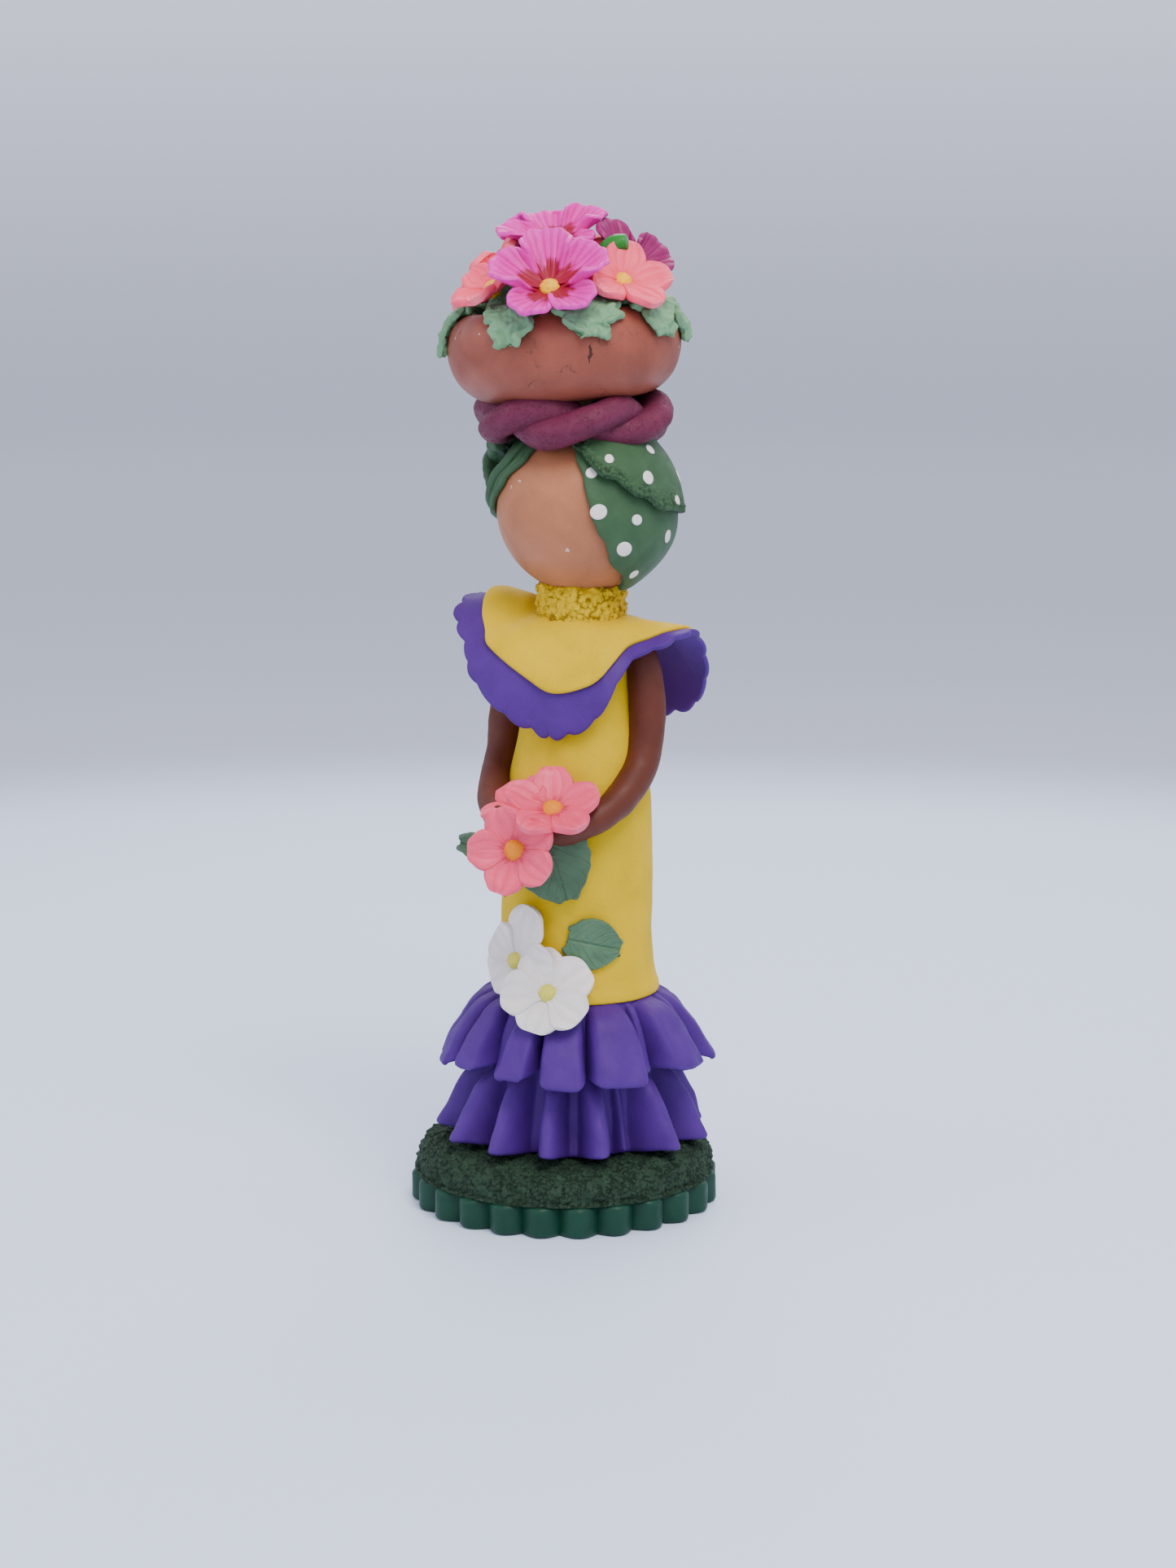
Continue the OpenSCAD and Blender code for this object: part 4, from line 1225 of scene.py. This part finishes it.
def build_rim_leaves():
    # the path from the bowl's middle out over its rim: (radius, height)
    lie = [(12.6, 16.3), (15.4, 17.3), (18.4, 16.7), (20.4, 14.6), (21.5, 11.8), (21.9, 8.8)]
    for n, (way, length, width, seed) in enumerate(RIM_LEAVES, 1):
        def leaf(u, v):
            x = 2 * u - 1
            t = 1 - v
            spot = along(lie, t * length / 13.2)
            half = jagged(width, t, seed, 1 if x > 0 else -1)
            torn = 0.5 * lumps((t * 12, x * 6, seed * 5), 1.3, seed)
            reach = spot.x + 0.5 * lumps((x * 2, t * 3, seed), 1, 1) - 0.4 * (1 - x * x) + \
                0.45 * abs(x) ** 3 + 0.25 * torn
            turn = way + math.degrees(x * half / spot.x)
            return BOWL @ polar(reach, turn, spot.y + 0.4 * torn * (1 - v) ** 2)

        piece = laid_grid(f"torn_rim_leaf_{n}", 34, 40, leaf)
        thicken(piece, 1.35 * MM)
        round_off(piece)
        push(piece, lambda p: 0.45 * lumps(p, 1.6, seed) + 0.25 * lumps(p, 0.8, seed))
        ready(piece, leaf_clay(-1), "leaf_clay", f"rim_leaf_{n}")


def flat_leaf(name, placed, length, width, bend, teeth, seed, node, pairs=6, cup=0.6,
              shade_factor=0.38):
    """A cut leaf that starts at its place, runs along its +Y and curls down."""
    def leaf(u, v):
        x = 2 * u - 1
        turn = math.radians(bend) * v
        run = math.sin(turn) / math.radians(bend)
        fall = (1 - math.cos(turn)) / math.radians(bend)
        body = math.sin(math.pi * (0.06 + 0.92 * v ** 0.85)) ** 0.62
        half = width / 2 * body * (1 + teeth * math.cos(2 * math.pi * 6 * v))
        side = abs((v - 0.9 * abs(x) * 0.35) * pairs % 1 - 0.5)
        groove = -0.16 * math.exp(-(x / 0.07) ** 2) - 0.07 * math.exp(-(side / 0.12) ** 2)
        lift = cup * x * x + 0.25 * lumps((x * 2, v * 3, seed), 1, seed) + groove
        return placed @ Vector((x * half, length * run, -length * fall + lift))

    piece = laid_grid(name, 34, 40, leaf)
    thicken(piece, 0.9 * MM)
    round_off(piece)
    # The leaf gets a darker copy of the leaf clay: painted shade.
    return ready(piece, leaf_clay(pairs, shade_factor), "leaf_clay", node)


# ---- flowers ----

def pressed_petal(name, placed, direction, spread, reach, cup, lift, thick, waves=0.25):
    """A broad fan-shaped petal, veined and a little wavy at its rim."""
    def petal(u, v):
        x = 2 * u - 1
        rim = 1 - 0.20 * x * x - 0.24 * x ** 6 + 0.014 * math.cos(math.pi * 5 * x)
        r = 0.8 + (reach * rim - 0.8) * v
        a = math.radians(direction + x * spread / 2 * (1 - 0.08 * v))
        vein = 0.11 * math.cos(2 * math.pi * 4.5 * u + 0.8 * math.sin(5 * v)) * smooth(v * 2)
        wave = waves * math.sin(math.pi * 3 * x + direction) * v ** 3
        z = cup * v ** 1.7 + 1.1 * x * x * v * v + lift + vein + wave \
            - 0.5 * smooth((v - 0.86) / 0.14) * 0.6
        return placed @ Vector((r * math.cos(a), r * math.sin(a), z))

    piece = laid_grid(name, 40, 22, petal)
    thicken(piece, thick * MM)
    round_off(piece)
    return piece


def spoon_petal(name, placed, direction, width, reach, cup, lift, thick, creases=1.0,
                wrap=0.0):
    """A rounded petal, thick at its edge, with a crease down its middle."""
    def petal(u, v):
        x = 2 * u - 1
        end = max(v - 0.5, 0) / 0.5
        t = 1.2 * v if v < 0.5 else 0.6 + 0.4 * math.sin(math.pi / 2 * end)
        half = width / 2 * (0.3 + 0.7 * smooth(t / 0.6)) * max(math.cos(math.pi / 2 * end), 0)
        side = x * half
        out = 0.7 + (reach - 0.7) * t
        v = t
        crease = -0.28 * creases * math.exp(-(x / 0.14) ** 2) * smooth(v * 3) * smooth((1 - v) * 4)
        crease -= 0.12 * creases * math.exp(-((abs(x) - 0.5) / 0.12) ** 2) * smooth((1 - v) * 4)
        z = cup * v ** 1.5 + 0.75 * x * x * smooth(v * 1.6) + crease + lift
        z = mix(z, cup + lift - 0.35, smooth((v - 0.75) / 0.25))
        a = math.radians(direction)
        level = out * math.cos(a) - side * math.sin(a)
        return placed @ Vector((level, out * math.sin(a) + side * math.cos(a),
                                z - wrap * level * level))

    piece = laid_grid(name, 22, 22, petal)
    weld(piece)
    thicken(piece, thick / 1.2 * bpy.context.scene.doll_sizes.petal)
    round_off(piece)
    return piece


# Flowers: (x, y, z, way they face round the axis, elevation, spin)
MAGENTA_PLACES = {
    "front": (4.9, -15.0, 18.8, 24, 54, 12),
    "top": (0.0, -1.2, 26.6, 34, 74, 20),
    "right": (11.8, 2.5, 21.6, 74, 34, 0),
    "back": (-6.5, 8.5, 24.0, 214, 46, 30),
}
# Petals of a magenta flower: (direction, spread, reach, cup)
MAGENTA_PETALS = {
    "front": [(80, 84, 11.2, 5.2), (152, 94, 10.6, 4.2), (8, 94, 10.6, 4.2),
              (224, 92, 9.6, 2.0), (-64, 96, 9.6, 2.0)],
    "top": [(70, 92, 10.0, 3.0), (146, 90, 10.2, 2.0), (0, 94, 9.8, 3.8),
            (216, 92, 8.2, 1.2), (-72, 92, 8.0, 1.8)],
    "right": [(94, 90, 9.8, 1.4), (160, 76, 6.0, 2.0), (14, 90, 9.6, 1.4),
              (220, 76, 5.4, 1.4), (-40, 76, 5.4, 1.4)],
    "back": [(90, 80, 10.0, 3.0), (162, 80, 9.8, 2.6), (18, 80, 9.8, 2.6),
             (232, 80, 9.4, 2.0), (-56, 80, 9.6, 2.0)],
}
PINK_PLACES = {
    "right": (13.6, -5.2, 19.2, 56, 46, -28),
    "left": (-6.8, -12.2, 19.4, -36, 50, 0),
    "side": (-8.8, -2.8, 22.2, -60, 40, 24),
    "back": (3.2, 14.0, 19.6, 170, 34, 8),
    "rear": (-14.0, 6.0, 18.6, 250, 28, 30),
}
POSY_PLACES = {
    "top": (3.4, -18.4, 73.4, 24, 56, 0),
    "front": (-1.5, -22.6, 67.4, 12, 8, 20),
    "left": (-3.6, -15.4, 72.8, -44, 58, 12),
}
WHITE_PLACES = {
    "left": (-4.6, -14.0, 45.8, -20, 4, -18),
    "right": (2.4, -16.8, 41.0, 12, 28, 20),
}


def button(name, placed, radius, seed):
    """A little ball pricked all over with a pin."""
    deselect()
    bpy.ops.mesh.primitive_uv_sphere_add(segments=40, ring_count=28, radius=radius * MM)
    ball = bpy.context.object
    ball.name = name
    for vert in ball.data.vertices:
        p = vert.co / MM
        pricks = noise.voronoi(p / 0.75 + Vector((seed, 0, 0)))[0][0]
        p = p * (1 + 0.10 * (pricks - 0.35) + 0.05 * lumps(p, 1.2, seed))
        p.z *= 0.82
        vert.co = placed @ (p + Vector((0, 0, radius * 0.35))) * MM
    return ball


def yolk_clay():
    colours = bpy.context.scene.doll_colours
    return clay("Button clay", colours.yolk, 0.5, 0.3, 2600, 0.3,
                crumbled(1900.0, (0.62, 0.2, 0.0), 0.5, 0.45), 0.12, 400)


def build_buttons(name, frame_of, places, radius, node, material=None):
    pieces = [button(f"{name}_{n}", frame_of @ facing(place), radius, n * 3 + 1)
              for n, place in enumerate(places.values())]
    ready(joined(name, pieces), material or yolk_clay(), "button_clay", node)


def build_magenta():
    colours = bpy.context.scene.doll_colours
    bright = clay("Magenta clay", colours.magenta, 0.5, 0.3, 2600, 0.35,
                  petalled(tuple(colours.crimson), (0.84, 0.03, 0.48), 9.0, 0.5, 1.0),
                  0.16, 260)
    # The flower at the right gets a darker copy of the magenta clay: painted shade.
    shaded_magenta = clay("Shaded magenta clay", (0.26, 0.004, 0.10), 0.48, 0.3, 2600, 0.35,
                petalled((0.15, 0.0, 0.03), (0.36, 0.012, 0.16), 9.0, 0.3, 0.8, 0.8),
                0.16, 260)
    for key, place in MAGENTA_PLACES.items():
        placed = BOWL @ facing(place)
        petals = [pressed_petal(f"petal_{key}_{n}", placed, way, spread, reach, cup,
                                0.45 * (n % 3), 0.9, 0.12 if key == "right" else 0.25)
                  for n, (way, spread, reach, cup) in enumerate(MAGENTA_PETALS[key])]
        flower = joined(f"magenta_petals_{key}", petals)
        ready(flower, shaded_magenta if key == "right" else bright, "magenta_clay",
              f"magenta_flower_{key}")
    build_buttons("magenta_buttons", BOWL, MAGENTA_PLACES, 1.9, "magenta_centres")


def build_pink():
    colours = bpy.context.scene.doll_colours
    pink = clay("Pink clay", colours.pink, 0.5, 0.25, 2600, 0.3,
                petalled((0.80, 0.05, 0.07), (1.0, 0.30, 0.34), 5.0, 0.2, 0.8, 0.7),
                0.14, 240)
    for key, place in PINK_PLACES.items():
        placed = BOWL @ facing(place)
        reach, width = (6.9, 6.6) if key in ("left", "side") else (8.3, 7.6)
        petals = [spoon_petal(f"pink_{key}_{n}", placed, 90 + 72 * n + 5 * (n % 2), width,
                              reach + 0.3 * (n % 2), 2.4, 0.25 * (n % 2), 1.25)
                  for n in range(5)]
        ready(joined(f"pink_petals_{key}", petals), pink, "pink_clay", f"pink_flower_{key}")
    build_buttons("pink_buttons", BOWL, PINK_PLACES, 1.75, "pink_centres")


def build_bud():
    bud = rolled("green_bud", [(8.2, -1.6, 22.8), (9.8, -1.6, 25.0), (11.6, -1.4, 26.0),
                               (13.6, -1.2, 26.4)], [1.2, 1.7, 1.8, 1.3], 28, 40, BOWL)
    ready(bud, clay("Bud clay", (0.012, 0.19, 0.014), 0.4, 0.3, 2600, 0.2, coat=0.15),
          "bud_clay", "bud")


def build_posy():
    colours = bpy.context.scene.doll_colours
    petal_pink = clay("Posy pink clay", colours.posy, 0.46, 0.25, 2600, 0.25,
                      petalled((0.55, 0.02, 0.05), (0.95, 0.19, 0.26), 3.0, 0.22, 0.6, 0.8),
                      0.12, 240, coat=0.1)
    for key, place in POSY_PLACES.items():
        placed = FIGURE @ facing(place)
        petals = [spoon_petal(f"posy_{key}_{n}", placed, 90 + 72 * n,
                              6.2 if key == "left" else 7.6,
                              {"left": 6.6, "top": 8.2}.get(key, 7.7),
                              2.4 if key == "top" else 2.1, 0.25 * (n % 2), 1.35)
                  for n in range(5)]
        ready(joined(f"posy_petals_{key}", petals), petal_pink, "pink_clay",
              f"posy_flower_{key}")
    build_buttons("posy_buttons", FIGURE, POSY_PLACES, 2.0, "posy_centres",
                  clay("Orange button clay", (0.80, 0.24, 0.0), 0.5, 0.4, 2600, 0.3))
    flat_leaf("posy_round_leaf", FIGURE @ facing((1.0, -17.8, 70.8, 24, 12, 200)),
              14.2, 13.4, 30, 0.02, 3, "posy_leaf_right")
    flat_leaf("posy_pointed_leaf", FIGURE @ facing((-5.4, -18.8, 65.4, -10, 10, 86)),
              11.8, 4.8, 24, 0.0, 5, "posy_leaf_left", 5)
    flat_leaf("posy_small_leaf", FIGURE @ facing((-3.4, -19.6, 67.6, -10, 4, 160)),
              9.5, 6.4, 20, 0.03, 7, "posy_leaf_lower", 5)


def build_dress_trim():
    colours = bpy.context.scene.doll_colours
    white = clay("White petal clay", colours.white, 0.5, 0.2, 2600, 0.25,
                 petalled((0.52, 0.5, 0.46), (0.82, 0.79, 0.77), 3.0, 0.1, 0.5, 0.4),
                 0.12, 240)
    for key, place in WHITE_PLACES.items():
        placed = FIGURE @ facing(place)
        reaches = (10.4, 7.2, 7.4, 7.6, 7.4) if key == "left" else (8.2, 8.2, 7.2, 7.6, 8.2)
        petals = [spoon_petal(f"white_{key}_{n}", placed, 90 + 72 * n, 8.6, reach, 0.5,
                              0.3 * (n % 2), 1.0, 0.5, 0.03 if key == "left" else 0.015)
                  for n, reach in enumerate(reaches)]
        ready(joined(f"white_petals_{key}", petals), white, "white_clay",
              f"white_flower_{key}")
    build_buttons("white_buttons", FIGURE, WHITE_PLACES, 1.7, "white_centres",
                  clay("Pale button clay", (0.62, 0.56, 0.07), 0.5, 0.3, 2600, 0.3))
    flat_leaf("dress_veined_leaf", FIGURE @ facing((4.4, -13.7, 50.5, 18, 0, -104)),
              10.2, 9.3, 40, 0.0, 9, "dress_leaf", 6, 0.2, 0.5)


# ---- hidden core ----

def build_core():
    """The pieces that can't be seen keep their solids and get a plain clay or wood."""
    def grained(tree, position, tinted, height, rough):
        long = tree.add("ShaderNodeMapping", {"Vector": position, "Scale": (1.0, 1.0, 0.06)})
        rings = tree.noise(long.outputs[0], 2600.0, 3.0, 0.8)
        tinted = darker(tree, tree.ramp(rings, 0.5, 0.7), 0.5, tinted, (0.36, 0.2, 0.09))
        return tinted, tree.math("ADD", rings, height), rough

    wood = clay("Dowel wood", (0.62, 0.44, 0.26), 0.62, 0.2, 2600, 0.25, grained)
    plain = clay("Plain core clay", (0.45, 0.38, 0.30), 0.7, 0.4, 2200, 0.3)
    for name, material in (("core_rod", wood), ("body_core", plain),
                           ("posy_hub", leaf_clay())):
        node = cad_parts[name]
        node.data.materials.clear()
        node.data.materials.append(material)


# ---- stage ----

def build_stage():
    settings = bpy.context.scene.doll_stage

    def dish(u, v):
        if v < FLOOR_SHARE:
            return polar(FLOOR_R * v / FLOOR_SHARE, 360 * u, 0)
        bend = math.pi / 2 * (v - FLOOR_SHARE) / CURVE_SHARE
        if bend < math.pi / 2:
            return polar(FLOOR_R + CURVE_R * math.sin(bend), 360 * u,
                         CURVE_R * (1 - math.cos(bend)))
        wall = (v - FLOOR_SHARE - CURVE_SHARE) / (1 - FLOOR_SHARE - CURVE_SHARE)
        return polar(WALL_R, 360 * u, mix(CURVE_R, WALL_H, wall))

    floor = laid_grid("stage_floor", 96, 80, dish, joined=True)
    in_edit_mode(floor, (bpy.ops.mesh.normals_make_consistent, {"inside": True}))
    select_only(floor)
    bpy.ops.object.shade_smooth()
    material = bpy.data.materials.new("Pale floor")
    material.use_nodes = True
    tree = Tree(material.node_tree)
    shader = material.node_tree.nodes["Principled BSDF"]
    shader.inputs["Specular IOR Level"].default_value = 0.25
    position = tree.add("ShaderNodeTexCoord").outputs["Object"]
    soft = tree.noise(position, 6.0, 2.0)
    flat = tree.add("ShaderNodeVectorMath", {0: position, 1: (1, 1, 0)},
                    operation="MULTIPLY").outputs[0]
    away = tree.add("ShaderNodeVectorMath", {0: flat}, operation="LENGTH").outputs["Value"]
    rise = tree.add("ShaderNodeSeparateXYZ", {0: position}).outputs[2]
    wall = tree.ramp(away, 0.37, 0.50)
    high = tree.ramp(rise, 0.0, 0.5)
    low = tree.blend(tree.math("MULTIPLY", soft, 0.12), (*settings.floor, 1),
                     (0.64, 0.72, 0.90, 1))
    # Away from the doll, the floor and the wall are painted dark low down and pale up high:
    # painted shade by the foot of the wall.
    back = tree.blend(high, (0.27, 0.30, 0.37, 1), (0.82, 0.83, 0.90, 1))
    tree.tree.links.new(tree.blend(wall, low, back), shader.inputs["Base Color"])
    # There they also glow, more brightly up high: painted light on the backdrop.
    shader.inputs["Emission Color"].default_value = (0.88, 0.89, 1.0, 1)
    tree.tree.links.new(tree.math("MULTIPLY", wall, tree.math(
        "MULTIPLY_ADD", high, 0.21, 0.34)), shader.inputs["Emission Strength"])
    tree.tree.links.new(tree.math("MULTIPLY_ADD", soft, 0.2, 0.6),
                        shader.inputs["Roughness"])
    floor.data.materials.append(material)

    world = bpy.data.worlds.new("Soft room")
    world.use_nodes = True
    world.node_tree.nodes["Background"].inputs["Color"].default_value = (0.80, 0.86, 1, 1)
    world.node_tree.nodes["Background"].inputs["Strength"].default_value = 0.62
    bpy.context.scene.world = world

    def soft_box(name, at, size, strength, colour):
        """A round soft light, its power told as a share of the key light's."""
        deselect()
        bpy.ops.object.light_add(type="AREA", location=at)
        lamp = bpy.context.object
        lamp.name = name
        lamp.data.shape = "DISK"
        lamp.data.size = size
        lamp.data.energy = settings.key_power * strength
        lamp.data.color = colour
        way = Vector(LIGHTS_AIM) - Vector(at)
        lamp.rotation_euler = way.to_track_quat("-Z", "Y").to_euler()

    soft_box("Key light", (0.25, -0.25, 0.62), 0.34, 1.0, (1, 0.98, 0.96))
    soft_box("Fill light", (-0.5, -0.45, 0.3), 0.5, 0.22, (0.92, 0.95, 1))
    soft_box("Back light", (-0.1, 0.36, 0.5), 0.4, 0.45, (1, 1, 1))

    deselect()
    bpy.ops.object.camera_add(
        location=CAMERA_AT,
        rotation=(math.radians(CAMERA_PITCH), 0, math.radians(CAMERA_TURN)))
    camera = bpy.context.object
    camera.data.sensor_fit = "VERTICAL"
    camera.data.sensor_height = 36
    camera.data.lens = CAMERA_LENS
    camera.data.clip_start = 0.01
    camera.data.clip_end = 10
    bpy.context.scene.camera = camera


# ---- operators and panel ----

def piece_operator(idname, label, doc, *builders):
    """An operator class that runs these builders in turn."""
    def execute(self, context):
        for build in builders:
            build()
        return {"FINISHED"}
    name = "DOLL_OT_" + idname
    return type(name, (bpy.types.Operator,), {
        "bl_idname": f"doll.{idname}", "bl_label": label, "__doc__": doc,
        "bl_options": {"REGISTER", "UNDO"}, "execute": execute})


STEPS = [
    piece_operator("make_base", "Base and grass", "Cuts the fluted base and crumbles "
                   "the grass pad over it", build_base),
    piece_operator("make_dress", "Dress", "Rolls the yellow dress tube", build_dress),
    piece_operator("make_ruffles", "Ruffles", "Pleats the two purple skirt ruffles",
                   build_ruffles),
    piece_operator("make_neck", "Neck", "Makes the neck and its stippled band", build_neck),
    piece_operator("make_cape", "Cape", "Cuts the scalloped cape and its collar",
                   build_cape),
    piece_operator("make_arms", "Arms", "Rolls the two arms", build_arms),
    piece_operator("make_head", "Head", "Rolls the ball of the head", build_head),
    piece_operator("make_scarf", "Scarf", "Wraps the head scarf, its fold, knot and dots",
                   build_scarf, build_dots),
    piece_operator("make_ring", "Head ring", "Twists the two strands of the head ring",
                   build_ring),
    piece_operator("make_bowl", "Bowl", "Shapes the bowl and its bed for the flowers",
                   build_bowl),
    piece_operator("make_rim_leaves", "Rim leaves", "Lays the torn leaves over the rim",
                   build_rim_leaves),
    piece_operator("make_bowl_flowers", "Bowl flowers", "Makes the flowers and the bud "
                   "in the bowl", build_magenta, build_pink, build_bud),
    piece_operator("make_posy", "Posy", "Makes the flowers and leaves in her hands",
                   build_posy),
    piece_operator("make_dress_trim", "Dress trim", "Makes the white flowers and the leaf "
                   "on the dress", build_dress_trim),
    piece_operator("make_core", "Hidden core", "Gives the hidden core its clay and wood",
                   build_core),
    piece_operator("make_stage", "Stage", "Makes the floor, lights and camera",
                   build_stage),
]


class DOLL_PT_panel(bpy.types.Panel):
    """Lists the doll's sizes, colours and pieces"""

    bl_idname = "DOLL_PT_panel"
    bl_label = "Clay doll"
    bl_space_type = "VIEW_3D"
    bl_region_type = "UI"
    bl_category = "Clay doll"

    def draw(self, context):
        scene = context.scene
        for group in (scene.doll_sizes, scene.doll_colours, scene.doll_stage):
            box = self.layout.box()
            for key in group.__annotations__:
                box.prop(group, key)
        for step in STEPS:
            self.layout.operator(step.bl_idname)


CLASSES = [DollSizes, DollColours, StageSettings, DOLL_PT_panel, *STEPS]


def register():
    for one in CLASSES:
        bpy.utils.register_class(one)
    bpy.types.Scene.doll_sizes = bpy.props.PointerProperty(type=DollSizes)
    bpy.types.Scene.doll_colours = bpy.props.PointerProperty(type=DollColours)
    bpy.types.Scene.doll_stage = bpy.props.PointerProperty(type=StageSettings)


def unregister():
    del bpy.types.Scene.doll_stage
    del bpy.types.Scene.doll_colours
    del bpy.types.Scene.doll_sizes
    for one in reversed(CLASSES):
        bpy.utils.unregister_class(one)


def main():
    register()
    for step in STEPS:
        area, name = step.bl_idname.split(".")
        getattr(getattr(bpy.ops, area), name)()


if __name__ == "__main__":
    main()
